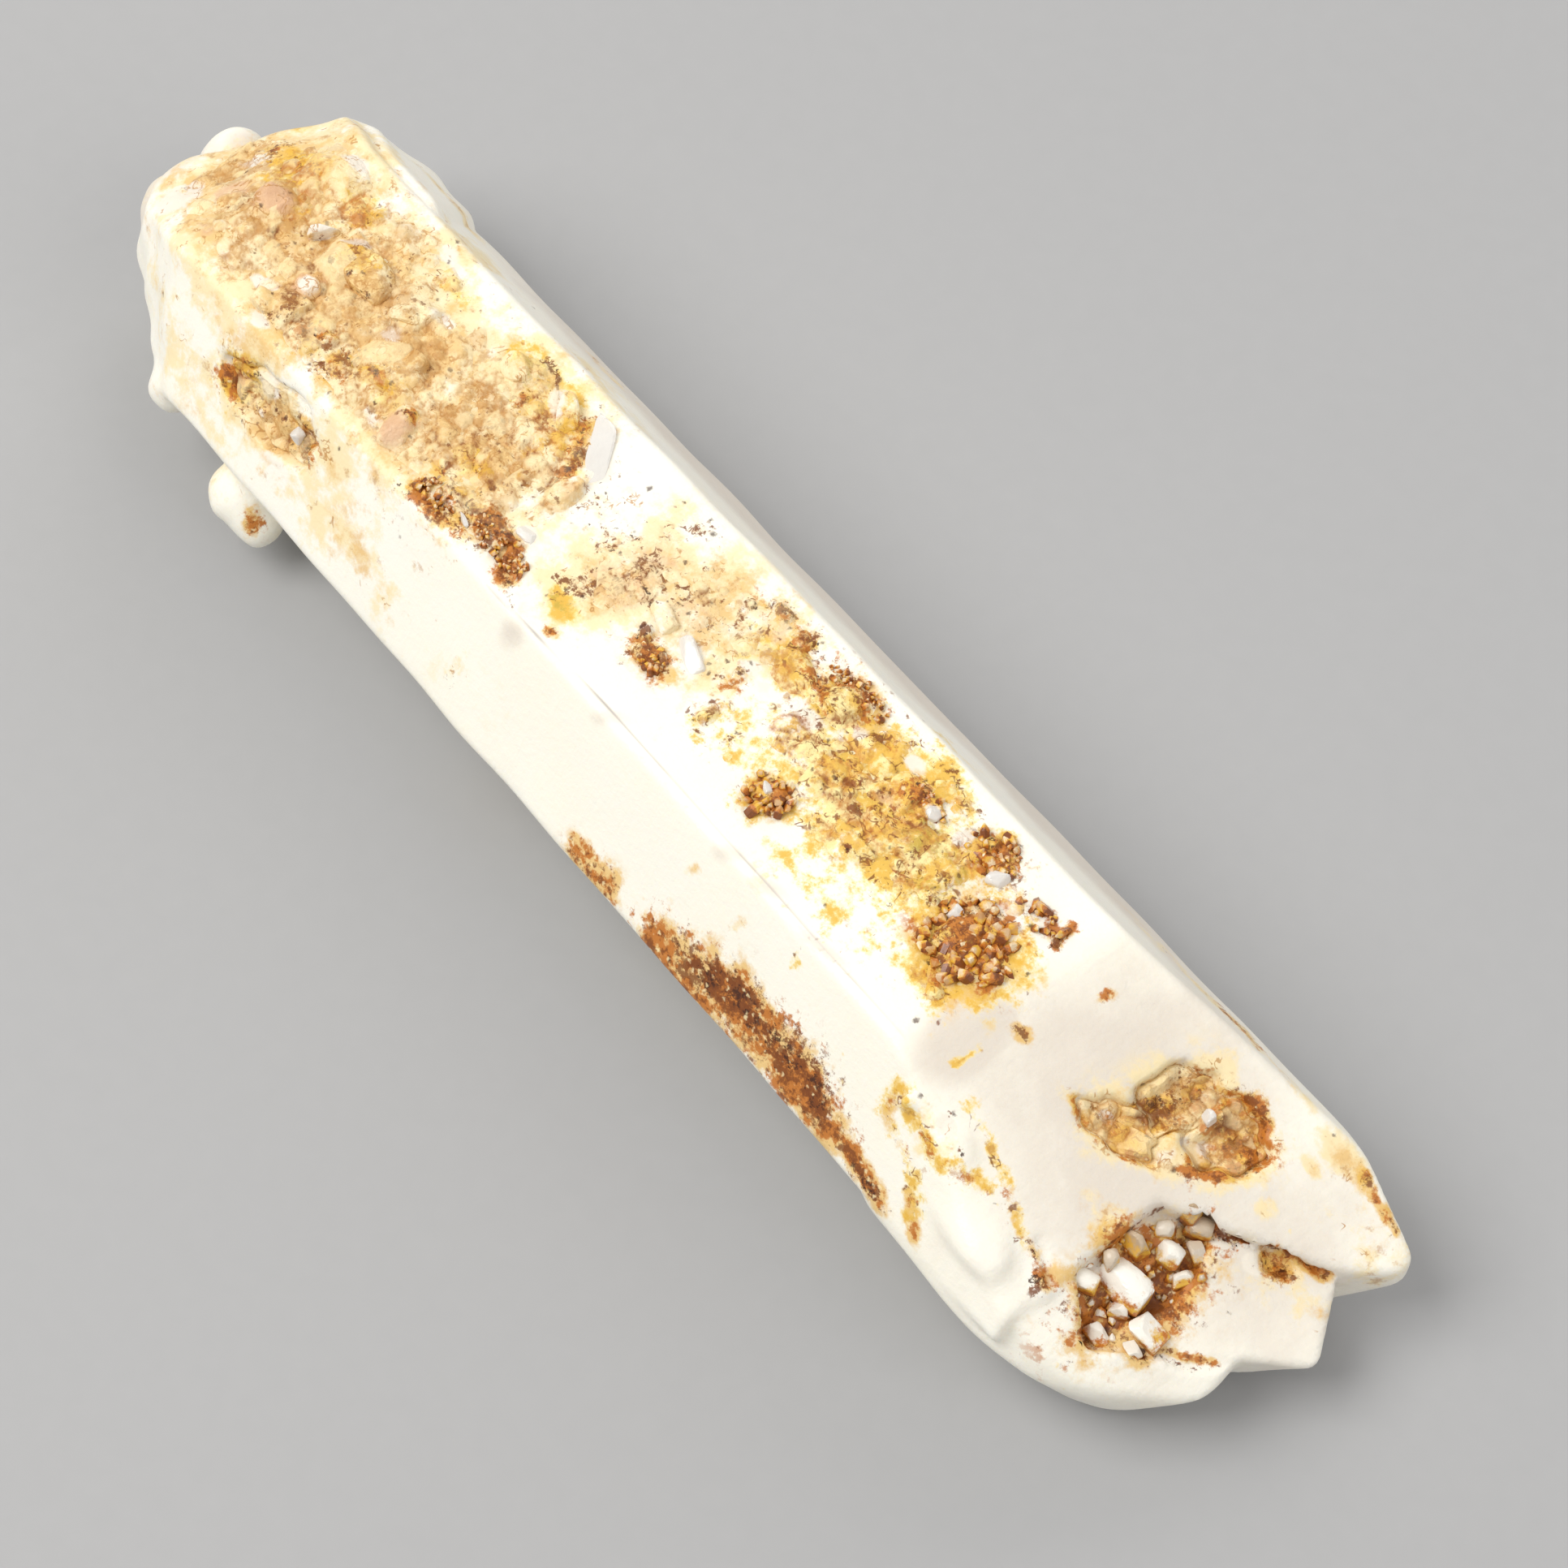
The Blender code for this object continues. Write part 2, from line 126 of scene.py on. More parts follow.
UPPER_TIP = [
    NEAR_TOP, RIGHT_UPPER, RIGHT_LOWER,
    (0, -90, (21.0, 0, 0)),
    (90, 36.6, (31.5, 2.0, 6.0)),
    (98, 52.0, (36.1, 5.9, 4.0)),
    (92, 76.0, (36.9, 6.9, 4.0)),
    (268, 66.0, (36.7, 7.8, 4.0)),
    (274, 15.0, (33.0, 8.75, 5.0)),
    (180, 5.0, (20.5, 0, 0)),
    (185, UNDERCUT, (33.4, 6.0, 0)),
]
MIDDLE_TIP = [
    (NEAR_TURN, 22.0, (31.1, 2.5, 5.75)),
    (0, -90, (24.0, 0, 0)),
    (270, 0, (0, 4.9, 0)),
    (90, 0, (0, -3.2, 0)),
    (252, 48.0, (37.25, 2.6, 3.2)),
    (104, 47.0, (37.2, 1.8, 3.2)),
    (180, 86.0, (37.8, 0, 3.0)),
    (180, 7.0, (23.5, 0, 0)),
    (180, UNDERCUT, (34.0, 0, 0)),
]
LOWER_TIP = [
    (NEAR_TURN, NEAR_SLOPE, (NEAR_START, 1.2, THICKNESS - 0.15)),
    (12, 34.0, (29.4, -5.0, 7.1)),
    (0, 0, (0, 0, 8.9)),
    (60, -2.6, (25.0, -8.1, 5.3)),
    (120, -2.6, (25.0, -8.1, 5.3)),
    (64, 5.0, (29.5, -8.0, 4.9)),
    (66, -32.0, (21.5, -6.9, 7.0)),
    (0, -90, (20.6, 0, 0)),
    (270, 0, (0, 0.5, 0)),
    (66, 15.0, (31.4, -7.2, 4.4)),
    (112, 13.0, (31.2, -7.2, 4.2)),
    (70, 33.0, (32.9, -6.1, 4.1)),
    (110, 33.0, (32.8, -6.1, 3.9)),
    (80, 50.5, (35.2, -3.3, 3.5)),
    (105, 50.5, (35.2, -3.3, 3.3)),
    (262, 76.0, (35.85, -1.8, 3.2)),
    (180, 5.0, (20.0, 0, 0)),
    (172, UNDERCUT, (32.0, -3.0, 0)),
]

# The middle tip's upper face runs on over the lower tip as far as the joint between them, so this is cut
# away there.
JOINT_CUT = [(82, -27, (29.9, -4.1, 5.8)), (115, 42, (33.2, -3.4, 4.5)), (184, -22, (31.1, 2.5, 5.65))]

# A hollow is a bowl sunk in a face: its middle, the face's two angles, how far it is turned, and its half
# sizes.
TIP_PITS = [
    ((26.6, 0.95, 8.65), (NEAR_TURN, NEAR_SLOPE), 22, (1.9, 1.0, 0.7)),
    ((27.1, 3.4, 8.5), (NEAR_TURN, NEAR_SLOPE), 72, (2.3, 1.35, 0.9)),
    ((29.3, 4.3, 7.6), (NEAR_TURN, NEAR_SLOPE), 60, (1.75, 1.5, 0.9)),
]
SHOULDER_PITS = [((-21.6, -5.8, 9.3), (60, 0), 4, (3.2, 1.6, 1.1))]
CLEFT = ((31.0, -1.9, 5.9), (6, 26), 80, (3.0, 1.5, 0.9))
SMALL_HOLLOWS = [((33.7, 3.4, 4.95), (NEAR_TURN, 22), 25, (0.95, 0.6, 0.6))]

# A groove is a line of points that a ball of that radius is drawn along: the cleft and the joints between
# the tips.
GROOVES = [
    ([(30.9, 1.5, 6.0), (31.6, 0.3, 5.7), (31.9, -1.2, 5.5), (31.5, -2.8, 5.5), (31.6, -4.3, 5.3)], 0.8),
    ([(30.3, -0.4, 6.2), (30.3, -2.2, 6.1), (30.6, -3.6, 5.9), (31.0, -3.6, 5.6)], 0.5),
    ([(29.4, -4.9, 7.0), (28.6, -4.5, 7.5), (28.0, -4.3, 7.8)], 0.24),
    ([(31.0, 1.6, 5.9), (31.8, 2.3, 5.6), (32.8, 3.8, 5.3), (33.8, 4.2, 4.9), (35.1, 4.7, 4.4)], 0.3),
    ([(33.2, -3.4, 4.6), (33.8, -2.6, 4.4), (34.6, -2.1, 4.1), (35.4, -0.9, 3.9)], 0.18),
]

# A lump is an ellipsoid that swells out of the skin: its middle, its half sizes and its turn about the
# vertical.
RIM_LUMPS = [
    ((-35.9, -1.2, 5.3), (1.7, 1.7, 1.7), 0),
    ((-36.5, 2.1, 5.4), (1.6, 1.5, 1.7), 0),
    ((-33.5, 6.0, 5.6), (1.35, 1.05, 1.3), 0),
]
NODULES = [
    ((-22.6, -7.2, 3.2), (1.7, 1.65, 1.6), 10),
    ((-21.3, -7.6, 2.6), (1.1, 1.0, 1.0), 0),
    ((-28.5, -6.9, 4.4), (1.1, 1.1, 1.1), 0),
]
FOLDS = [
    ((23.3, -4.8, 9.15), (1.2, 0.8, 0.8), -20),
    ((25.9, -5.9, 7.75), (2.6, 1.3, 0.85), -16),
    ((29.0, -5.1, 6.65), (0.9, 0.7, 0.6), -30),
]


# ---------------------------------------------------------------------------------------------
# Sizes and colours that a user would change
# ---------------------------------------------------------------------------------------------
def length(name, description, default):
    """A property for a size, kept in metres."""
    return bpy.props.FloatProperty(
        name=name, description=description, default=default, min=0.0, unit="LENGTH"
    )


def colour(name, description, default):
    """A property for a colour."""
    return bpy.props.FloatVectorProperty(
        name=name, description=description, default=default, size=3, min=0.0, max=1.0, subtype="COLOR"
    )


class QuartzSizes(bpy.types.PropertyGroup):
    """Sizes of the crystal's skin and of what grows on it."""

    skin_step: length("Skin step", "Spacing of the points of the crystal's skin", 0.00022)
    edge_rounding: length("Edge rounding", "Width over which two crystal faces blend", 0.0003)
    druse_step: length("Druse step", "Spacing of the points of the druse", 0.000088)
    druse_height: length("Druse height", "Height of the tallest druse crystals over the face", 0.00095)
    cleft_crystal: length("Cleft crystal", "Radius of a middling small crystal in the cleft", 0.00022)
    patch_crystal: length("Patch crystal", "Radius of the largest crystals in the rusty patches", 0.00025)
    pit_crystal: length("Pit crystal", "Spacing of the crystals in the pits", 0.00075)
    floor_width: length("Floor width", "Width of the studio floor", 3.0)


class QuartzColours(bpy.types.PropertyGroup):
    """Colours of the quartz, of the iron stains on it, and of the painted shade."""

    cream: colour("Cream", "Milky quartz of the prism faces", (0.93, 0.905, 0.83))
    # Painted shade: a cool grey laid over the near end and the right faces, which lie turned from the key
    # light.
    lilac_shade: colour("Lilac grey", "Cooler quartz of the near end and the right faces", (0.75, 0.68, 0.59))
    straw: colour("Straw", "Palest wash of the far half of the druse", (0.90, 0.74, 0.42))
    lemon: colour("Lemon", "Palest wash of the near half of the druse", (0.92, 0.74, 0.28))
    tan: colour("Tan", "Stain over the far half of the druse", (0.78, 0.50, 0.18))
    brown: colour("Brown", "Mottling in the tan and golden stains", (0.48, 0.22, 0.05))
    gold: colour("Gold", "Stain over the near half of the druse", (0.77, 0.45, 0.055))
    olive: colour("Olive", "Greenish stain at the near end of the druse", (0.52, 0.38, 0.06))
    pink: colour("Pink", "Flesh-coloured crystals", (0.70, 0.42, 0.26))
    # Also laid as one painted highlight on the far half of the druse.
    pale: colour("Pale", "Clear crystals in the stains", (0.86, 0.80, 0.70))
    orange: colour("Orange rust", "Rim of the rust patches", (0.52, 0.17, 0.022))
    rust: colour("Rust", "Iron oxide in the hollows", (0.20, 0.055, 0.010))
    dark: colour("Dark oxide", "Specks in the deepest corners", (0.055, 0.014, 0.005))
    # Painted shade: the colour of the thin grey line painted along the left ridge.
    seam: colour("Seam", "Thin line along the left ridge", (0.40, 0.36, 0.34))
    floor: colour("Floor", "Studio floor", (0.40, 0.40, 0.405))


# ---------------------------------------------------------------------------------------------
# Shape: faces, hollows and lumps as distances
# ---------------------------------------------------------------------------------------------
def face_normal(around, lean):
    """Outward direction of a face: turned round the long axis from straight up, then leant to the near
    end."""
    turn = math.radians(around)
    tilt = math.radians(lean)
    return np.array([math.sin(tilt), -math.cos(tilt) * math.sin(turn), math.cos(tilt) * math.cos(turn)])


def blend_max(first, second, width):
    """Greater of two distances, with a parabola of that width where they cross."""
    overlap = np.maximum(width - np.abs(first - second), 0.0)
    return np.maximum(first, second) + overlap * overlap / (4.0 * width)


def blend_min(first, second, width):
    """Smaller of two distances, with a parabola of that width where they cross."""
    return -blend_max(-first, -second, width)


def crystal_distance(points, faces, rounding):
    """Distance outside a crystal: the greatest of the distances outside its faces, blended at the edges."""
    result = None
    for around, lean, through in faces:
        normal = face_normal(around, lean)
        distance = points @ normal - normal @ np.array(through)
        result = distance if result is None else blend_max(result, distance, rounding)
    return result


def hollow_axes(hollow):
    """Three unit rows: along the hollow, across it, and out of the face that it is sunk in."""
    _, face, turn, _ = hollow
    out = face_normal(*face)
    along = np.array([1.0, 0.0, 0.0]) - out * out[0]
    along = along / np.linalg.norm(along)
    across = np.cross(out, along)
    angle = math.radians(turn)
    return np.array([
        math.cos(angle) * along + math.sin(angle) * across,
        math.cos(angle) * across - math.sin(angle) * along,
        out,
    ])


def rim_wave(angle, turn):
    """How far a hollow's wavy rim stands out along each direction, about 1."""
    return 1.0 + 0.10 * np.sin(3 * angle + 0.7 + turn) + 0.08 * np.sin(7 * angle + 2.1 + turn)


def hollow_distance(points, hollow):
    """Distance outside a hollow's bowl, an ellipsoid whose wall waves in and out."""
    local = (points - np.array(hollow[0])) @ hollow_axes(hollow).T / np.array(hollow[3])
    wave = rim_wave(np.arctan2(local[:, 1], local[:, 0]), hollow[2])
    return (np.linalg.norm(local, axis=1) - wave) * min(hollow[3])


def lump_distance(points, lump):
    """Distance outside an ellipsoid that is turned about the vertical."""
    middle, sizes, turn = lump
    angle = math.radians(turn)
    x = points[:, 0] - middle[0]
    y = points[:, 1] - middle[1]
    along = (x * math.cos(angle) + y * math.sin(angle)) / sizes[0]
    across = (y * math.cos(angle) - x * math.sin(angle)) / sizes[1]
    up = (points[:, 2] - middle[2]) / sizes[2]
    return (np.sqrt(along**2 + across**2 + up**2) - 1.0) * min(sizes)


def line_distance(points, line):
    """Distance of each point from a line of points."""
    nearest = np.full(len(points), 1e9)
    for start, end in zip(np.array(line[:-1]), np.array(line[1:])):
        along = end - start
        share = np.clip((points - start) @ along / (along @ along), 0, 1)
        nearest = np.minimum(nearest, np.linalg.norm(points - start - share[:, None] * along, axis=1))
    return nearest


def waves(points, wavelength, seed):
    """A smooth field from 0 to 1: the mean of six sine waves of about that wavelength in scattered
    directions."""
    rng = np.random.default_rng(seed)
    total = 0.0
    for direction in rng.normal(size=(6, 3)):
        direction = direction / np.linalg.norm(direction)
        pace = 2 * math.pi / (wavelength * rng.uniform(0.7, 1.5))
        total = total + np.sin(points @ direction * pace + rng.uniform(0, 2 * math.pi))
    return 0.5 + total / 12.0


def skin_distance(points, rounding):
    """Distance outside the crystal: its grown-together individuals, the lumps on them, less the hollows in
    them."""
    result = crystal_distance(points, MAIN_CRYSTAL, rounding)
    for faces in (FAR_SHOULDER, UPPER_TIP, MIDDLE_TIP):
        result = np.minimum(result, crystal_distance(points, faces, rounding))
    lower_tip = crystal_distance(points, LOWER_TIP, rounding)
    lower_tip = blend_max(lower_tip, -crystal_distance(points, JOINT_CUT, rounding), 0.1)
    result = blend_min(result, lower_tip, 0.3)
    result = result + 0.16 * (waves(points, 6.0, 3) - 0.75) * np.clip(points[:, 2] / 1.5, 0, 1)
    knobbly = 0.22 * (waves(points, 1.7, 17) - 0.5)
    for lump in RIM_LUMPS + NODULES:
        result = blend_min(result, lump_distance(points, lump) + knobbly, 0.6)
    for lump in FOLDS:
        result = blend_min(result, lump_distance(points, lump) + 0.12, 0.5)
    far_end = np.clip((-26.0 - points[:, 0]) / 5.0, 0, 1) * np.clip(points[:, 2] / 3.0, 0, 1)
    result = result + 0.5 * far_end * (waves(points, 2.6, 11) - 0.65)
    for hollow in TIP_PITS + SHOULDER_PITS + SMALL_HOLLOWS:
        result = blend_max(result, -hollow_distance(points, hollow), 0.2)
    for line, radius in GROOVES:
        rough = radius * (0.8 + 0.4 * waves(points, 0.9, 31))
        result = blend_max(result, rough - line_distance(points, line), 0.15)
    return np.maximum(result, box_distance(points))


def box_distance(points):
    """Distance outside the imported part's own box, which nothing grows past."""
    low, high = (np.array(corner) / MM for corner in CAD_BOX)
    return np.maximum(low - points, points - high).max(axis=1)


# ---------------------------------------------------------------------------------------------
# Meshes
# ---------------------------------------------------------------------------------------------
def mesh_piece(name, points, faces, material, attributes=None, smooth=True):
    """Puts points in millimetres and faces of one size into a new object at the origin that rides on the
    part."""
    mesh = bpy.data.meshes.new(name)
    corners = faces.shape[1]
    mesh.vertices.add(len(points))
    mesh.vertices.foreach_set("co", (points * MM).astype(np.float32).ravel())
    mesh.loops.add(faces.size)
    mesh.loops.foreach_set("vertex_index", faces.astype(np.int32).ravel())
    mesh.polygons.add(len(faces))
    mesh.polygons.foreach_set("loop_start", np.arange(0, faces.size, corners, dtype=np.int32))
    mesh.polygons.foreach_set("use_smooth", np.full(len(faces), smooth))
    for label, values in (attributes or {}).items():
        layer = mesh.attributes.new(label, "FLOAT", "POINT")
        layer.data.foreach_set("value", values.astype(np.float32))
    mesh.update()
    mesh.validate()
    mesh.materials.append(material)
    piece = bpy.data.objects.new(name, mesh)
    bpy.context.scene.collection.objects.link(piece)
    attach(piece, "root")
    return piece


def quads_across(inside, cells):
    """For each lattice edge along the first axis that crosses the skin, the quad through the four cells
    round it."""
    first = inside[:-1, 1:-1, 1:-1]
    second = inside[1:, 1:-1, 1:-1]
    i, j, k = np.nonzero(first != second)
    ring = np.stack(
        [cells[i, j, k], cells[i, j + 1, k], cells[i, j + 1, k + 1], cells[i, j, k + 1]], axis=1
    )
    outward = first[i, j, k]
    return np.where(outward[:, None], ring, ring[:, ::-1])


def skin_mesh(distance, low, high, step):
    """The surface where a distance is nought, as quads. The tips overhang the cleft, so no one surface of
    two parameters follows it: a lattice of cells is laid over the crystal, each cell that the skin crosses
    gets one point, and four steps along the slope of the distance take each point on to the skin."""
    axes = [np.arange(a, b + s, s) for a, b, s in zip(low, high, step)]
    lattice = np.stack(np.meshgrid(*axes, indexing="ij"), axis=-1)
    shape = lattice.shape[:3]
    inside = (distance(lattice.reshape(-1, 3)) < 0).reshape(shape)
    corners = np.zeros([n - 1 for n in shape], int)
    for a in (0, 1):
        for b in (0, 1):
            for c in (0, 1):
                corners += inside[a:shape[0] - 1 + a, b:shape[1] - 1 + b, c:shape[2] - 1 + c]
    crossed = (corners > 0) & (corners < 8)
    cells = np.full(crossed.shape, -1)
    cells[crossed] = np.arange(crossed.sum())
    points = lattice[:-1, :-1, :-1][crossed] + np.array(step) / 2
    for _ in range(4):
        value = distance(points)
        slope = slope_of(distance, points)
        move = value[:, None] * slope / np.maximum((slope**2).sum(axis=1), 0.3)[:, None]
        points = points - np.clip(move, -np.array(step) / 2, np.array(step) / 2)
    quads = [
        quads_across(np.transpose(inside, order), np.transpose(cells, order))
        for order in ((0, 1, 2), (1, 2, 0), (2, 0, 1))
    ]
    return points, np.concatenate(quads)


def slope_of(distance, points, reach=0.05):
    """Slope of a distance at each point, from points a little to either side."""
    sides = [distance(points + offset) - distance(points - offset) for offset in np.eye(3) * reach]
    return np.stack(sides, axis=1) / (2 * reach)


# ---------------------------------------------------------------------------------------------
# Stains, and a painted grey shade: a blot is its middle, half length, half width, turn about the vertical,
# and strength
# ---------------------------------------------------------------------------------------------
BLOTS = {
    "tan": [
        # over the far half of the druse
        ((-32.6, 0.6, 9.9), 3.6, 4.4, 0, 0.95), ((-29.0, 0.2, 11.6), 4.2, 4.9, 0, 1.0),
        ((-23.6, 0.0, 11.8), 4.6, 5.0, 0, 1.0), ((-18.8, -0.7, 11.8), 3.6, 4.1, 0, 1.0),
        ((-14.6, 0.0, 11.8), 3.0, 4.8, 0, 0.95), ((-11.4, -0.3, 11.8), 2.2, 4.4, 0, 0.9),
        ((-9.2, 0.0, 11.8), 1.2, 2.4, 0, 0.7), ((-34.6, 1.4, 8.0), 1.8, 2.4, 0, 0.8),
        # over its middle
        ((-4.4, 0.5, 11.8), 2.6, 3.5, 0, 0.62), ((-1.4, 1.8, 11.8), 2.9, 2.6, 10, 0.64),
        ((1.4, 2.4, 11.8), 2.0, 2.6, 0, 0.6), ((1.9, 0.2, 11.8), 1.2, 1.5, 0, 0.55),
        ((-7.6, 1.6, 11.8), 1.6, 1.8, 0, 0.42), ((-4.8, -2.6, 11.8), 1.2, 0.8, 0, 0.55),
        # on the far shoulders and the side faces
        ((-33.5, 5.0, 8.0), 2.4, 1.3, -20, 0.8), ((-27.5, 7.3, 7.3), 2.6, 0.7, 0, 0.85),
        ((-15.1, 7.3, 6.9), 1.9, 0.5, 0, 0.8), ((-30.0, -5.6, 8.0), 3.2, 1.4, 0, 0.4),
        ((-21.0, -6.6, 7.9), 12.0, 2.2, 0, 0.27), ((-14.0, -6.7, 7.7), 1.1, 0.6, 0, 0.5),
        ((-7.0, -6.7, 7.7), 0.5, 0.8, 0, 0.5), ((7.8, -5.5, 9.8), 0.35, 0.2, 30, 0.42),
        ((10.7, -5.6, 9.6), 0.45, 0.2, 40, 0.42), ((25.4, 7.7, 7.2), 4.4, 0.5, 0, 0.75),
        ((32.6, 7.7, 6.3), 3.2, 0.6, 0, 0.7), ((29.0, -1.5, 7.4), 1.6, 0.9, 20, 0.4),
        # in and round the pits and the cleft
        ((26.6, 1.0, 8.6), 2.0, 1.25, 20, 1.2), ((27.1, 3.6, 8.3), 2.4, 1.5, 72, 1.25),
        ((29.3, 4.3, 7.5), 1.8, 1.8, 0, 1.2), ((26.7, 2.4, 8.1), 1.2, 0.9, 60, 1.7),
        ((28.4, 1.8, 7.9), 1.0, 1.1, -20, 0.85), ((25.2, 0.1, 9.3), 0.9, 0.4, 10, 0.8),
        ((-21.6, -5.9, 8.9), 3.3, 1.7, 0, 1.0), ((-17.8, -5.4, 9.8), 1.4, 0.6, 0, 0.75),
        ((31.9, 3.9, 6.0), 0.6, 0.4, 0, 0.6), ((22.4, -5.4, 9.6), 1.6, 0.9, -20, 0.36),
        ((33.9, 3.0, 4.7), 1.6, 1.2, 20, 0.6), ((31.2, -1.6, 5.6), 1.6, 3.2, 0, 0.5),
        ((35.6, 3.4, 4.0), 0.9, 0.9, 0, 0.45), ((35.4, 6.9, 5.0), 2.4, 1.8, 0, 0.42),
        ((32.0, 6.4, 6.6), 0.5, 0.3, 0, 0.8), ((-22.4, -7.9, 3.2), 2.0, 1.6, 0, 0.22),
        ((-28.5, -7.6, 4.6), 1.2, 0.9, 0, 0.22), ((-35.6, -0.4, 7.2), 1.2, 1.6, 0, 0.42),
        # faintly on the faces that lie away from the druse
        ((-12.0, 7.4, 3.4), 3.4, 1.4, 0, 0.42), ((9.0, 7.6, 3.0), 2.6, 1.1, 0, 0.4),
        ((-24.0, 0.0, 0.0), 6.0, 4.0, 0, 0.4), ((6.0, -1.0, 0.0), 9.0, 4.5, 0, 0.34),
        ((-4.0, -6.2, 3.0), 3.0, 1.3, 0, 0.42), ((17.0, 7.9, 4.6), 1.6, 0.8, 0, 0.4),
    ],
    "yellow": [
        ((-30.2, 2.1, 11.2), 2.1, 1.1, 10, 1.1), ((-26.6, 2.6, 11.8), 1.1, 1.1, 30, 0.8),
        ((-28.4, 0.9, 11.7), 1.6, 0.8, -40, 0.6), ((-21.0, 3.4, 11.8), 1.2, 0.7, 0, 0.6),
        ((-24.0, 0.9, 11.8), 1.5, 1.1, 10, 0.7), ((-12.2, 2.2, 11.8), 2.4, 1.4, -30, 0.7),
        ((-12.6, -1.4, 11.8), 1.0, 0.6, 0, 0.7), ((-15.6, 3.4, 11.8), 1.0, 0.8, 0, 0.6),
        ((-18.6, -2.2, 11.8), 1.8, 1.0, 0, 0.55), ((-5.0, -2.7, 11.8), 1.0, 0.6, 0, 0.48),
        ((-24.2, -5.9, 9.0), 1.2, 1.2, 0, 1.1), ((-33.6, 4.4, 8.6), 1.2, 0.8, 0, 0.6),
        ((13.7, -5.1, 10.5), 0.4, 0.3, 0, 0.85), ((2.0, 2.6, 11.8), 1.0, 1.2, 0, 0.6),
        # the golden half
        ((3.9, 2.7, 11.8), 1.9, 1.1, -15, 1.0), ((3.1, -1.4, 11.8), 0.7, 1.3, 0, 0.75),
        ((5.0, -1.1, 11.8), 1.3, 1.5, 0, 0.62), ((6.2, 0.8, 11.8), 2.4, 2.4, 0, 0.66),
        ((6.4, 3.4, 11.8), 2.2, 1.5, 0, 0.8), ((8.8, 1.9, 11.8), 2.2, 3.0, 0, 0.88),
        ((7.6, -1.7, 11.8), 1.3, 1.2, 0, 0.9), ((11.2, 1.3, 11.8), 2.8, 3.0, 0, 0.95),
        ((10.2, -0.9, 11.8), 1.5, 0.9, 0, 0.8), ((13.9, 1.4, 11.8), 2.2, 2.2, 0, 0.95),
        ((15.6, 3.5, 11.8), 1.6, 1.5, 0, 0.95), ((12.2, 4.3, 11.8), 2.4, 0.9, 0, 0.7),
        ((17.2, 2.8, 11.8), 1.5, 1.1, 0, 0.62), ((18.0, 0.3, 11.8), 2.2, 2.0, 0, 0.85),
        ((18.0, -1.9, 11.8), 1.7, 0.8, -20, 0.8), ((14.0, -2.6, 11.5), 4.0, 1.4, 0, 0.36),
        ((21.6, -5.7, 9.6), 0.9, 0.6, 0, 0.55),
    ],
    "pale": [
        # clear crystals and bare quartz within the stains, and one painted highlight
        ((-9.75, 3.1, 11.8), 1.75, 0.75, -45, 1.0), ((0.5, 0.0, 11.8), 1.0, 0.5, -20, 1.0),
        ((2.4, 1.5, 11.8), 0.7, 0.5, 15, 0.9), ((3.5, 1.4, 11.8), 0.4, 0.35, 0, 0.8),
        ((5.9, 1.9, 11.8), 0.8, 0.6, 0, 0.9), ((-11.9, -3.5, 11.8), 0.7, 0.35, 0, 0.8),
        ((-8.4, -1.7, 11.8), 0.7, 0.5, 0, 0.9), ((12.4, 3.0, 11.8), 0.5, 0.35, -20, 0.9),
        ((16.4, 0.8, 11.8), 0.3, 0.35, 0, 1.0), ((16.3, 3.2, 11.8), 0.55, 0.4, 30, 0.8),
        ((7.4, -1.5, 11.8), 0.42, 0.22, -10, 1.1), ((18.5, -1.3, 11.8), 0.5, 0.35, 0, 0.9),
        # The second blot on the next line, at -28.6, 3.9, is a painted highlight.
        ((-12.9, 3.2, 11.8), 1.1, 0.5, -40, 0.8), ((-28.6, 3.9, 11.7), 0.9, 0.5, 10, 0.9),
        ((-26.3, 0.5, 12.0), 0.75, 0.28, 62, 1.1), ((-24.4, -1.6, 11.9), 0.6, 0.5, 30, 0.8),
        ((-22.0, 4.2, 11.8), 1.1, 0.6, 0, 0.8), ((-17.4, -3.4, 11.8), 0.9, 0.4, 0, 0.7),
        ((10.2, 3.9, 11.8), 0.6, 0.4, 0, 0.8), ((7.6, 3.1, 11.8), 0.5, 0.5, 0, 0.8),
        ((14.0, 3.4, 11.8), 0.45, 0.7, 0, 0.9), ((18.0, 2.2, 11.8), 0.9, 0.4, -25, 0.8),
        ((29.4, 3.6, 7.3), 0.9, 0.35, 25, 1.1), ((28.4, 1.9, 8.0), 0.5, 0.8, -20, 0.45),
        ((27.5, 4.7, 8.3), 0.4, 0.4, 0, 0.6), ((25.9, 0.8, 8.7), 0.5, 0.3, 30, 0.9),
        ((22.8, -4.8, 9.9), 0.6, 0.45, 0, 0.9), ((29.2, 5.2, 7.6), 0.4, 0.3, 0, 0.7),
        ((-25.8, -2.9, 11.7), 0.9, 0.5, 20, 0.9), ((-24.5, -4.2, 11.5), 0.8, 0.4, 0, 0.8),
        ((-25.0, 1.3, 11.8), 0.9, 0.35, 40, 0.85), ((-19.5, 1.9, 11.8), 0.9, 0.5, 20, 0.7),
        ((-20.1, -0.2, 11.8), 0.7, 0.6, 0, 0.65), ((-33.4, -2.6, 9.6), 1.2, 1.3, 0, 0.9),
        ((-32.6, 1.3, 10.0), 1.1, 0.7, 60, 0.6), ((-22.5, -5.1, 9.7), 0.8, 0.5, 0, 0.9),
        ((-21.9, -6.2, 8.9), 1.1, 0.4, -20, 0.8), ((-20.6, -6.8, 8.2), 1.2, 0.4, 10, 0.8),
        ((33.2, 2.5, 5.0), 0.6, 0.5, 20, 0.9),
    ],
    "olive": [
        ((13.6, 2.0, 11.8), 1.8, 1.3, 0, 0.85), ((15.3, 1.2, 11.8), 1.2, 1.2, 0, 0.75),
        ((-5.0, -2.7, 11.8), 1.0, 0.6, 0, 0.72), ((-15.2, 3.1, 11.8), 1.2, 0.9, 0, 0.5),
        ((15.4, 3.6, 11.8), 1.0, 0.9, 0, 0.6), ((-11.4, -2.4, 11.8), 0.9, 0.5, 0, 0.7),
    ],
    "pink": [
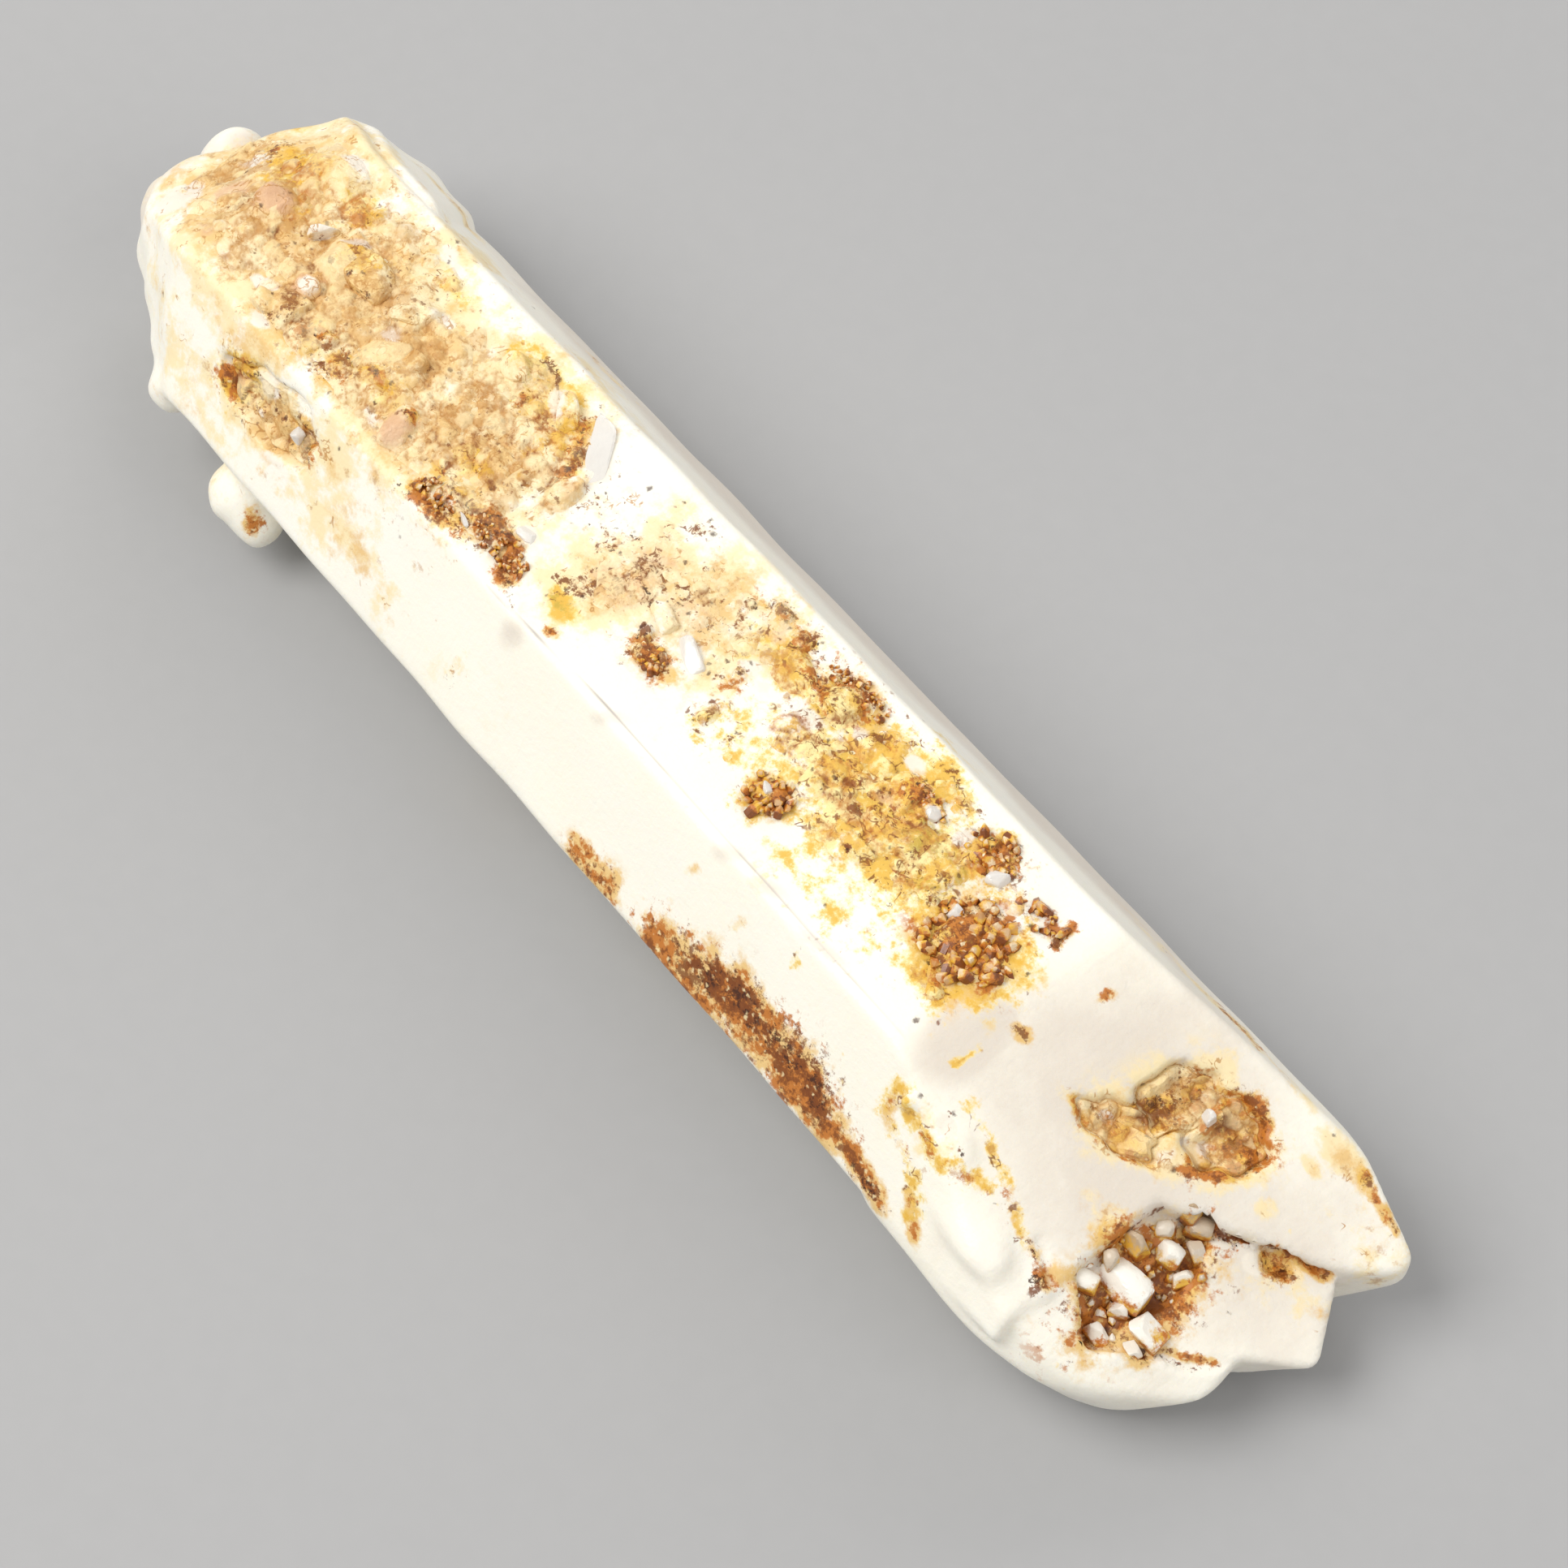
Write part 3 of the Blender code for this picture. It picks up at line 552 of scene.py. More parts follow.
        ((-29.2, -0.1, 11.8), 1.1, 0.85, 15, 1.1), ((-16.0, -2.9, 11.8), 0.8, 1.1, 15, 0.75),
        ((-9.0, 0.8, 11.8), 0.7, 0.8, 0, 0.6), ((-22.4, -7.9, 3.2), 1.6, 1.6, 0, 0.42),
        ((-24.4, -1.6, 11.8), 0.8, 0.9, 0, 0.7), ((-4.2, 0.8, 11.8), 1.8, 2.6, 0, 0.5),
        ((-1.0, 1.2, 11.8), 1.8, 1.2, 0, 0.55), ((10.6, 1.9, 11.8), 0.5, 0.4, 0, 0.7),
        ((1.8, 3.6, 11.8), 1.6, 1.2, 0, 0.45), ((-31.6, -0.9, 10.7), 1.4, 0.7, 70, 0.62),
        ((-22.3, -3.0, 11.7), 0.8, 0.5, 0, 0.7), ((-30.0, -3.2, 11.4), 1.2, 0.7, 10, 0.5),
    ],
    "orange": [
        ((-26.0, 2.4, 11.8), 0.6, 0.7, 60, 0.85), ((-29.9, 2.6, 11.4), 1.0, 0.5, 10, 0.72),
        ((-22.2, -3.0, 11.8), 1.0, 0.9, 0, 0.62), ((-16.1, -2.2, 11.8), 0.35, 0.3, 0, 1.0),
        ((-20.4, -3.0, 11.8), 1.2, 0.8, 0, 0.5), ((-18.9, -2.0, 11.8), 0.5, 0.3, 0, 0.7),
        ((-14.0, 2.0, 11.8), 0.25, 0.6, 0, 0.7), ((-32.2, 2.2, 10.1), 0.9, 0.7, 0, 0.5),
        ((-10.2, -3.1, 11.8), 2.4, 0.9, 8, 0.66), ((-4.0, -3.8, 11.6), 0.3, 0.25, 0, 1.0),
        ((-0.4, -1.4, 11.8), 1.1, 0.7, 0, 0.95), ((2.5, 0.7, 11.8), 0.5, 0.7, 0, 0.55),
        ((0.8, 4.2, 11.8), 1.0, 0.5, 0, 0.5), ((2.8, 4.2, 11.8), 0.9, 0.8, 0, 0.6),
        ((6.0, 4.2, 11.8), 1.9, 0.9, 0, 0.62), ((4.6, 3.4, 11.8), 1.6, 0.6, -25, 0.6),
        ((8.5, 3.7, 11.8), 0.7, 0.5, 0, 0.55), ((11.4, 3.1, 11.8), 1.0, 0.7, 0, 0.6),
        ((15.5, 3.8, 11.8), 1.2, 0.9, 0, 0.72), ((7.6, -1.6, 11.8), 1.1, 1.0, 0, 0.62),
        ((17.8, 0.4, 11.8), 1.9, 1.8, 0, 1.0), ((18.9, 0.3, 11.8), 0.7, 1.2, 0, 0.9),
        ((18.2, -1.7, 11.8), 1.3, 0.5, -15, 0.55), ((21.8, -0.2, 10.7), 0.34, 0.3, 0, 1.0),
        ((22.6, 3.4, 10.6), 0.22, 0.45, 0, 0.9), ((25.6, 7.8, 7.0), 1.6, 0.5, 0, 0.9),
        ((-24.3, -6.0, 8.9), 0.9, 1.0, 0, 0.84), ((-19.6, -5.6, 9.5), 1.0, 0.7, 0, 1.0),
        ((26.8, 2.4, 8.2), 1.5, 0.9, 60, 0.8), ((29.7, 4.6, 7.1), 1.2, 1.2, 0, 1.0),
        ((26.4, 0.8, 8.3), 1.2, 0.5, 10, 0.7), ((27.2, 4.4, 8.1), 1.0, 0.8, 60, 0.6),
        ((31.5, -1.8, 5.4), 1.6, 3.3, -8, 1.3), ((31.2, 1.0, 5.4), 0.9, 0.9, 0, 1.1),
        ((33.8, 3.3, 4.7), 0.8, 0.6, 20, 1.0), ((-13.2, 7.5, 3.0), 0.7, 0.4, 0, 0.6),
        ((2.0, 1.5, 0.0), 1.2, 0.6, 30, 0.6), ((10.2, 7.9, 3.2), 0.5, 0.3, 0, 0.6),
        ((-5.2, -6.1, 2.6), 0.6, 0.4, 0, 0.6), ((-20.9, -8.0, 3.6), 0.4, 0.4, 0, 0.8),
        ((33.0, -3.5, 4.5), 0.7, 0.4, 0, 1.0), ((29.4, -1.6, 6.9), 0.4, 1.3, 0, 0.55),
        ((29.2, -4.9, 7.2), 0.6, 0.6, 0, 0.8),
    ],
    "rust": [
        # specks over the far half
        ((-22.0, 0.0, 11.8), 7.0, 4.3, 0, 0.22), ((-12.2, 0.2, 11.8), 3.4, 4.0, 0, 0.30),
        ((-25.0, -1.2, 11.8), 0.4, 1.1, 20, 0.75), ((-24.0, -2.8, 11.8), 1.1, 1.0, 0, 0.62),
        ((-22.2, -3.0, 11.8), 1.0, 0.9, 0, 0.6), ((-20.4, -3.0, 11.8), 1.4, 1.0, 0, 0.55),
        ((-22.4, -0.1, 12.0), 0.7, 0.16, 35, 1.1), ((-24.7, -0.2, 12.0), 0.4, 0.2, -35, 1.1),
        ((-27.8, -1.0, 11.7), 0.4, 0.3, 0, 0.95), ((-22.4, 1.4, 11.8), 0.7, 0.6, 0, 0.6),
        ((-26.4, 1.6, 11.8), 0.3, 0.5, 0, 0.6), ((-32.4, 2.0, 10.0), 0.9, 0.8, 0, 0.5),
        ((-18.9, -2.0, 11.8), 0.4, 0.3, 0, 0.7), ((-17.5, -3.2, 11.8), 0.3, 0.2, 0, 0.9),
        ((-16.1, -2.3, 11.8), 0.4, 0.3, 0, 0.9), ((-30.4, -0.8, 11.2), 0.5, 0.9, 0, 0.6),
        ((-14.5, 4.1, 11.8), 0.85, 0.3, -10, 1.15), ((-14.1, 2.2, 11.8), 0.4, 0.6, 0, 0.6),
        ((-13.0, 2.4, 11.8), 1.5, 0.35, -30, 0.55), ((-11.1, -1.5, 11.8), 0.3, 0.25, 0, 1.1),
        ((-9.9, 0.9, 11.8), 0.6, 0.7, 0, 0.62), ((-13.6, -4.5, 11.5), 1.5, 0.16, 0, 0.6),
        ((-10.2, -3.1, 11.8), 2.2, 0.8, 8, 0.66), ((-10.7, -3.75, 11.7), 0.45, 0.16, -15, 1.15),
        # the brown speckle of the middle
        ((-5.4, 1.0, 11.8), 1.2, 1.7, 0, 0.52), ((-4.0, 0.7, 11.8), 0.8, 1.8, 0, 0.74),
        ((-4.9, -1.4, 11.8), 0.9, 1.6, 0, 0.58), ((-5.5, -2.0, 11.8), 0.6, 0.4, 0, 0.6),
        ((-2.4, 1.0, 11.8), 1.4, 0.9, 10, 0.66), ((-0.8, 1.9, 11.8), 1.9, 1.4, 0, 0.5),
        ((-3.9, 4.4, 11.7), 0.6, 0.35, 0, 0.7), ((-2.5, 3.0, 11.8), 0.4, 0.4, 0, 0.62),
        ((-4.4, 3.2, 11.8), 1.4, 1.2, 0, 0.4), ((0.0, 3.4, 11.8), 0.4, 0.35, 0, 0.85),
        ((1.2, 4.3, 11.8), 0.7, 0.5, 0, 0.85), ((2.7, 4.1, 11.8), 0.8, 0.8, 0, 0.8),
        ((1.6, 1.0, 11.8), 1.0, 1.5, 0, 0.45), ((2.3, 1.0, 11.8), 0.4, 0.6, 0, 0.6),
        ((3.2, -1.2, 11.8), 0.6, 0.9, 0, 0.5), ((-7.6, 1.8, 11.8), 1.2, 1.6, 0, 0.3),
        ((-1.6, -0.8, 11.8), 0.6, 0.28, -35, 1.1), ((-0.4, -1.4, 11.8), 0.95, 0.62, 0, 0.85),
        # along the right border of the golden half, and in it
        ((6.0, 4.3, 11.8), 1.9, 0.75, 0, 0.62), ((4.6, 3.5, 11.8), 1.6, 0.6, -25, 0.56),
        ((6.3, 2.9, 11.8), 1.1, 0.4, -20, 0.6), ((8.4, 3.6, 11.8), 0.6, 0.5, 0, 0.65),
        ((9.3, 4.5, 11.8), 0.5, 0.4, 0, 0.65), ((11.2, 4.7, 11.7), 1.4, 0.35, 0, 0.6),
        ((11.4, 3.1, 11.8), 0.8, 0.5, 0, 0.8), ((12.5, 3.3, 11.8), 0.5, 0.3, -20, 0.75),
        ((13.3, 4.5, 11.8), 0.4, 0.3, 0, 0.6), ((10.3, 0.7, 11.8), 0.38, 0.32, 0, 1.05),
        ((10.5, 2.1, 11.8), 0.35, 0.4, 0, 0.65), ((12.2, 2.0, 11.8), 0.4, 0.25, 0, 0.7),
        ((12.9, -0.2, 11.8), 0.3, 0.25, 0, 0.7), ((11.6, -0.8, 11.8), 0.25, 0.2, 0, 0.9),
        ((8.0, 1.6, 11.8), 3.2, 2.4, 0, 0.36), ((12.6, 1.4, 11.8), 2.8, 2.2, 0, 0.36),
        ((14.9, 1.5, 11.8), 0.4, 0.35, 0, 0.95), ((15.5, 0.6, 11.8), 0.6, 0.35, 10, 0.85),
        ((15.4, 3.7, 11.8), 1.1, 0.9, 0, 0.68), ((4.7, -1.2, 11.8), 0.4, 0.5, 0, 0.7),
        ((14.6, -0.9, 11.8), 0.3, 0.25, 0, 0.7), ((17.7, 0.5, 11.8), 1.6, 1.4, 0, 0.62),
        ((17.8, -1.0, 11.8), 0.7, 0.25, 0, 0.95), ((17.1, -0.2, 11.8), 0.4, 0.3, 0, 0.85),
        ((18.9, 0.8, 11.8), 0.35, 0.7, 0, 0.8), ((17.2, 1.8, 11.8), 0.8, 0.35, 0, 0.8),
        # in the pits, in the cleft and on the sides
        ((26.7, 2.5, 8.2), 1.0, 0.75, 60, 1.15), ((30.3, 4.3, 7.2), 0.5, 0.7, 0, 0.8),
        ((28.7, 4.6, 7.7), 0.35, 0.6, 0, 0.95), ((26.9, 3.9, 8.3), 1.3, 0.9, 60, 0.6),
        ((31.5, -1.2, 5.1), 0.8, 2.8, -5, 0.62), ((31.0, 0.8, 5.4), 0.7, 0.6, 0, 0.95),
        ((33.8, 3.3, 4.7), 0.7, 0.4, 20, 1.0), ((-19.4, -5.6, 9.4), 0.7, 0.6, 0, 1.0),
        ((-22.0, -5.9, 9.0), 2.6, 1.2, 0, 0.5), ((-24.2, -6.0, 8.9), 0.7, 0.8, 0, 0.6),
        ((25.4, 7.8, 7.0), 1.1, 0.35, 0, 0.9), ((-20.7, -8.1, 3.7), 0.25, 0.25, 0, 0.9),
        ((29.2, -5.3, 7.2), 0.5, 0.4, 0, 1.05), ((33.2, -3.3, 4.4), 0.5, 0.22, 0, 1.1),
        ((28.2, -4.8, 7.6), 0.25, 0.2, 0, 1.0), ((22.5, -4.4, 10.1), 0.3, 0.16, -30, 1.1),
        ((23.9, -5.0, 9.6), 0.4, 0.2, 0, 0.85), ((-13.2, -7.3, 6.6), 0.12, 0.3, 0, 0.8),
        ((-7.0, -6.8, 7.6), 0.3, 0.5, 0, 0.4), ((12.2, -6.6, 8.0), 0.35, 0.3, 0, 0.95),
    ],
    # Painted shade, not a stain: a cool grey over the near end and the right faces, which lie turned from the
    # key light, and over small smudges along the left ridge.
    "lilac_shade": [
        ((27.0, 1.0, 8.8), 6.5, 7.0, 0, 0.80), ((34.0, 3.0, 5.0), 5.0, 6.0, 0, 0.6),
        ((20.6, -2.2, 11.2), 1.6, 2.6, 0, 1.0), ((-3.0, 8.6, 7.0), 26.0, 2.7, 0, 0.8),
        ((14.0, 8.4, 7.0), 13.0, 2.5, 0, 0.8), ((-24.0, -3.2, 11.6), 1.3, 0.8, 0, 0.8),
        ((-5.3, -5.0, 11.0), 1.3, 0.6, 55, 0.58), ((0.6, -4.5, 11.5), 1.1, 0.4, 40, 0.55),
        ((8.6, -4.5, 11.5), 1.0, 0.4, 30, 0.55), ((10.8, -4.3, 11.5), 1.0, 0.35, 20, 0.55),
        ((14.3, -4.2, 11.5), 1.4, 0.3, 10, 0.6), ((-36.0, -1.0, 6.0), 2.0, 3.0, 0, 0.8),
        ((-9.8, -2.0, 11.8), 1.0, 0.6, 0, 0.5), ((33.0, -3.0, 4.0), 4.0, 2.5, 0, 0.5),
        ((-35.6, 2.4, 7.6), 1.4, 1.2, 0, 0.9),
    ],
}
# A stroke is a line of points, its half width and its strength.
STROKES = {
    "orange": [
        # the rusty run beside the left ridge
        ([(-13.3, -2.7, 11.8), (-12.9, -3.2, 11.8), (-13.2, -3.9, 11.7), (-12.3, -4.2, 11.6),
         (-11.2, -4.1, 11.6)], 0.38, 1.0),
        ([(-10.4, -2.9, 11.8), (-9.6, -2.5, 11.8), (-8.2, -2.5, 11.8), (-7.8, -3.2, 11.8),
         (-7.2, -3.7, 11.7)], 0.55, 1.0),
        ([(-11.3, 3.6, 11.8), (-10.8, 2.8, 11.8), (-10.0, 2.0, 11.8), (-9.8, 1.1, 11.8)], 0.5, 0.75),
        # the ring about the pale grain, and the arm beyond the golden half
        ([(6.9, -0.9, 11.8), (7.8, -0.7, 11.8), (8.3, -1.1, 11.8), (8.1, -2.0, 11.8),
         (7.3, -2.4, 11.8)], 0.3, 0.9),
        ([(17.2, 3.4, 11.8), (18.2, 3.0, 11.8), (18.6, 3.8, 11.8), (19.2, 3.4, 11.8),
         (20.0, 3.1, 11.6)], 0.28, 1.0),
        ([(19.7, 4.1, 11.6), (20.0, 3.2, 11.6)], 0.22, 0.9),
        # the crust along the edge of the two left faces
        ([(2.6, -7.6, 6.2), (4.4, -7.5, 6.4)], 0.75, 0.85),
        ([(8.2, -7.6, 6.2), (10.0, -7.4, 6.5), (12.0, -7.1, 7.1), (16.4, -7.0, 7.2),
         (18.4, -7.3, 6.7)], 1.55, 1.0),
        ([(18.2, -7.4, 6.6), (20.0, -7.3, 6.6), (22.2, -7.6, 6.2)], 0.55, 1.0),
        # veins round the smooth folds of the near end
        ([(20.5, -5.1, 10.4), (20.6, -6.0, 9.0), (21.5, -6.2, 8.7), (22.6, -6.3, 8.4),
         (23.1, -6.9, 7.5)], 0.26, 0.42),
        ([(23.1, -6.9, 7.5), (23.8, -7.2, 7.0), (24.4, -7.6, 6.3)], 0.34, 0.78),
        ([(22.4, -5.6, 9.6), (23.3, -5.9, 9.2), (24.5, -5.4, 9.4), (25.5, -4.9, 8.9)], 0.26, 0.5),
        ([(26.0, -4.0, 8.6), (26.2, -4.5, 8.5), (27.5, -4.9, 7.9), (28.1, -4.8, 7.6),
         (29.2, -4.5, 7.2)], 0.24, 0.6),
        # the joints between the tips
        ([(30.9, 1.5, 5.9), (31.8, 2.3, 5.5), (32.8, 3.8, 5.2), (33.8, 4.2, 4.8),
         (35.1, 4.7, 4.3)], 0.38, 1.0),
        ([(33.0, -3.5, 4.5), (33.4, -2.7, 4.5)], 0.3, 1.0),
        ([(33.4, -2.7, 4.5), (34.2, -2.0, 4.2), (35.1, -1.0, 3.8)], 0.16, 1.0),
        ([(31.0, -4.0, 5.4), (31.8, -5.2, 4.9)], 0.35, 1.0),
        ([(33.3, 8.0, 6.1), (34.5, 7.8, 5.6), (35.6, 7.8, 5.1)], 0.25, 0.8),
        ([(24.8, 0.0, 9.4), (25.8, -0.1, 9.0), (26.7, 0.2, 8.6), (27.5, 0.5, 8.3),
         (28.3, 1.1, 8.0)], 0.26, 0.9),
        ([(28.2, 5.3, 8.2), (28.9, 6.1, 7.9), (29.7, 5.9, 7.5), (30.5, 4.6, 7.1), (30.1, 3.3, 7.2),
         (29.4, 2.2, 7.6)], 0.4, 1.05),
        ([(28.3, 4.6, 7.9), (28.7, 3.5, 7.8), (29.0, 2.5, 7.8), (29.4, 2.2, 7.6)], 0.24, 0.9),
        # round the shards of the shoulder pit
        ([(-24.0, -5.2, 9.9), (-24.6, -5.9, 9.3), (-23.9, -6.6, 8.6)], 0.34, 0.8),
    ],
    "rust": [
        ([(-13.2, -2.5, 11.8), (-12.6, -3.2, 11.8)], 0.35, 0.95),
        ([(-13.2, -3.9, 11.7), (-12.3, -4.2, 11.6), (-11.2, -4.1, 11.6)], 0.3, 0.75),
        ([(-12.4, -3.0, 11.8), (-10.8, -2.9, 11.8), (-9.8, -2.3, 11.8)], 0.3, 1.05),
        ([(-9.2, -2.3, 11.8), (-8.0, -2.6, 11.8), (-7.7, -3.3, 11.8), (-7.0, -3.8, 11.6),
         (-6.2, -4.1, 11.5)], 0.32, 0.85),
        ([(-11.5, 4.0, 11.8), (-11.1, 3.3, 11.8), (-10.2, 2.4, 11.8), (-9.8, 1.2, 11.8)], 0.34, 0.8),
        ([(-0.6, -2.1, 11.8), (-1.3, -2.9, 11.7)], 0.2, 0.8),
        ([(8.5, 0.6, 11.8), (9.6, -0.7, 11.8)], 0.18, 0.85),
        ([(6.9, -0.9, 11.8), (7.8, -0.7, 11.8), (8.3, -1.1, 11.8), (8.1, -2.0, 11.8),
         (7.3, -2.4, 11.8)], 0.26, 0.8),
        ([(17.2, 3.4, 11.8), (18.2, 3.0, 11.8), (18.6, 3.8, 11.8), (19.2, 3.4, 11.8),
         (20.0, 3.1, 11.6)], 0.2, 0.8),
        ([(10.5, -7.1, 7.0), (12.2, -6.9, 7.4), (14.2, -6.9, 7.4), (16.4, -6.8, 7.6),
         (17.8, -7.1, 7.1)], 0.95, 1.05),
        ([(9.0, -7.4, 6.5), (12.0, -7.2, 6.8)], 0.7, 0.6),
        ([(20.6, -7.5, 6.4), (22.0, -7.6, 6.2)], 0.4, 1.0),
        ([(30.9, 1.5, 5.8), (31.8, 2.3, 5.4), (32.6, 3.5, 5.2)], 0.24, 1.3),
        ([(32.6, 3.5, 5.2), (33.8, 4.2, 4.8), (35.1, 4.7, 4.3)], 0.17, 1.2),
        ([(33.3, -3.4, 4.4), (33.8, -2.6, 4.3), (34.6, -2.1, 4.0), (35.4, -0.9, 3.8)], 0.12, 1.25),
        ([(29.9, -3.9, 5.9), (31.8, -5.2, 4.9)], 0.16, 1.1),
        ([(29.6, 1.0, 6.8), (29.6, -3.2, 6.8)], 0.16, 0.9),
        ([(-23.2, -5.2, 9.8), (-23.9, -5.8, 9.2), (-23.2, -6.6, 8.6), (-22.6, -6.3, 8.9)], 0.17, 1.0),
        ([(-21.2, -5.6, 9.3), (-20.2, -5.2, 9.7), (-19.5, -5.6, 9.3), (-19.8, -6.1, 9.0)], 0.2, 1.1),
        ([(-23.0, -7.0, 8.3), (-21.6, -6.7, 8.6), (-20.8, -7.1, 8.2)], 0.14, 0.9),
        ([(24.6, 7.6, 7.4), (21.0, 7.7, 7.2)], 0.3, 0.6),
        ([(26.5, 7.9, 6.8), (33.0, 8.1, 6.1)], 0.25, 0.55),
    ],
    "yellow": [
        ([(21.3, -1.8, 10.8), (21.3, -3.1, 10.8)], 0.12, 0.9),
        ([(20.5, -5.1, 10.4), (20.6, -6.0, 9.0), (21.5, -6.2, 8.7), (23.0, -6.5, 8.0),
         (23.8, -7.2, 7.0)], 0.5, 0.55),
        ([(20.5, -5.1, 10.4), (22.4, -5.6, 9.6), (23.3, -5.9, 9.2), (24.5, -5.4, 9.4),
         (25.5, -4.9, 8.9)], 0.5, 0.58),
        ([(22.8, -3.6, 10.1), (24.0, -3.7, 9.6), (24.7, -4.1, 9.3), (26.0, -4.0, 8.6),
         (27.5, -4.9, 7.9)], 0.32, 0.6),
    ],
}
# The painted shade: a thin grey line painted along the left ridge.
RIDGE_SHADE_LINE = [
    (-29.0, -5.0, 11.4), (-16.0, -5.0, 11.4), (-7.0, -4.5, 11.5), (1.0, -4.15, 11.6), (20.0, -4.1, 11.5),
]


def ellipse_reach(points, blot):
    """How far each point lies from a blot's middle, 1 on its edge."""
    middle, half_length, half_width, turn, _ = blot
    angle = math.radians(turn)
    offset = points - np.array(middle)
    along = (offset[:, 0] * math.cos(angle) + offset[:, 1] * math.sin(angle)) / half_length
    across = (offset[:, 1] * math.cos(angle) - offset[:, 0] * math.sin(angle)) / half_width
    return np.sqrt(along**2 + across**2 + (offset[:, 2] / max(half_width, 0.9))**2)


def stain(points, kind):
    """Strength of one stain at each point: the strongest of its blots and strokes, each a bell."""
    total = np.zeros(len(points))
    for blot in BLOTS[kind]:
        total = np.maximum(total, blot[4] * np.exp(-0.9 * ellipse_reach(points, blot)**2.6))
    for line, half_width, strength in STROKES.get(kind, []):
        total = np.maximum(total, strength * np.exp(-0.9 * (line_distance(points, line) / half_width)**2.6))
    return total


def stain_attributes(points):
    """All the stains, the painted grey shade, and the distance from the painted shade line along the ridge,
    as point attributes of a mesh.
    """
    values = {kind: stain(points, kind) for kind in BLOTS}
    values["ridge"] = np.minimum(line_distance(points, RIDGE_SHADE_LINE), 3.0)
    return values


# ---------------------------------------------------------------------------------------------
# Druse: the rough field of small crystals along the upper face
# ---------------------------------------------------------------------------------------------
DRUSE_START = -34.6
DRUSE_END = 20.4
LEFT_BORDER = [
    (-34.6, -2.2), (-30.0, -4.3), (-24.0, -4.3), (-14.0, -4.0), (-9.0, -3.8), (-5.0, -3.7), (-1.5, -3.0),
    (1.0, -1.4), (4.0, -2.4), (8.0, -2.5), (12.0, -1.6), (15.5, -0.5), (17.0, -1.2), (18.6, -2.9),
    (20.4, -0.4),
]
RIGHT_BORDER = [
    (-34.6, 2.5), (-30.0, 4.9), (-22.0, 4.6), (-18.0, 3.6), (-14.0, 4.6), (-9.0, 4.8), (-4.0, 4.6),
    (3.0, 5.0), (8.0, 5.1), (13.0, 5.1), (16.0, 4.7), (19.6, 4.3), (20.4, 3.0),
]
UPPER_FACES = [TOP, LEFT_UPPER, RIGHT_UPPER, NEAR_TOP, FAR_TOP, MAIN_CRYSTAL[9], MAIN_CRYSTAL[13]]
# Larger crystals of the druse: x, y, radius, height, lean and heading of the lean in degrees.
LARGE_CRYSTALS = [
    (-29.2, -0.1, 1.35, 0.9, 14, 200), (-26.4, 0.8, 0.95, 0.8, 35, 250), (-24.3, 0.6, 1.65, 1.05, 10, 20),
    (-24.2, -3.0, 1.25, 0.9, 18, 300), (-28.4, 3.6, 1.5, 1.0, 20, 120), (-32.2, -2.6, 1.3, 0.9, 22, 160),
    (-27.6, -2.3, 1.1, 0.7, 25, 80), (-20.9, 1.9, 1.2, 0.8, 20, 40), (-15.1, 3.4, 1.3, 0.9, 12, 90),
    (-16.1, -2.8, 1.15, 0.7, 35, 10), (-9.7, 3.2, 1.0, 1.0, 30, 320), (-9.0, 0.8, 1.15, 0.9, 16, 0),
    (-10.3, -2.5, 1.2, 0.8, 20, 210), (-1.0, -1.4, 1.0, 0.8, 24, 45), (0.6, 0.5, 1.0, 0.8, 30, 75),
    (7.4, -1.5, 0.9, 0.7, 15, 140), (14.0, 1.7, 1.0, 0.7, 22, 330), (17.3, 0.5, 1.2, 0.9, 12, 60),
    (18.6, 3.4, 0.9, 0.6, 28, 15), (-19.6, 4.6, 1.0, 0.7, 26, 110),
]


def crown_height(x, y):
    """Height of the crystal's upper faces over a point: the lowest of their planes there."""
    heights = []
    for around, lean, through in UPPER_FACES:
        normal = face_normal(around, lean)
        drop = (normal[0] * (x - through[0]) + normal[1] * (y - through[1])) / normal[2]
        heights.append(through[2] - drop)
    return np.min(heights, axis=0)


def druse_cover(x, y):
    """How fully the druse covers each point, from 0 to 1: it stands where the iron has stained it, and thins
    out over its border and where a slow wave dips."""
    left = np.interp(x, *zip(*LEFT_BORDER))
    right = np.interp(x, *zip(*RIGHT_BORDER))
    inside = np.minimum(np.minimum(y - left, right - y), np.minimum(x - DRUSE_START, DRUSE_END - x))
    points = np.stack([x, y, crown_height(x, y)], axis=-1).reshape(-1, 3)
    stained = np.maximum.reduce([stain(points, kind) for kind in ("tan", "yellow", "orange", "rust")])
    gaps = waves(points, 3.0, 23)
    cover = np.clip(1.7 * stained + 0.7 * (gaps - 0.55) - 0.2, 0, 1).reshape(x.shape)
    return cover * np.clip(inside / 0.8 + 0.4, 0, 1)


def hex_reach(x, y, turn):
    """Distance from a six-sided crystal's axis, measured across its flats."""
    reach = 0.0
    for side in range(3):
        angle = turn + side * math.pi / 3
        reach = np.maximum(reach, np.abs(x * np.cos(angle) + y * np.sin(angle)))
    return reach


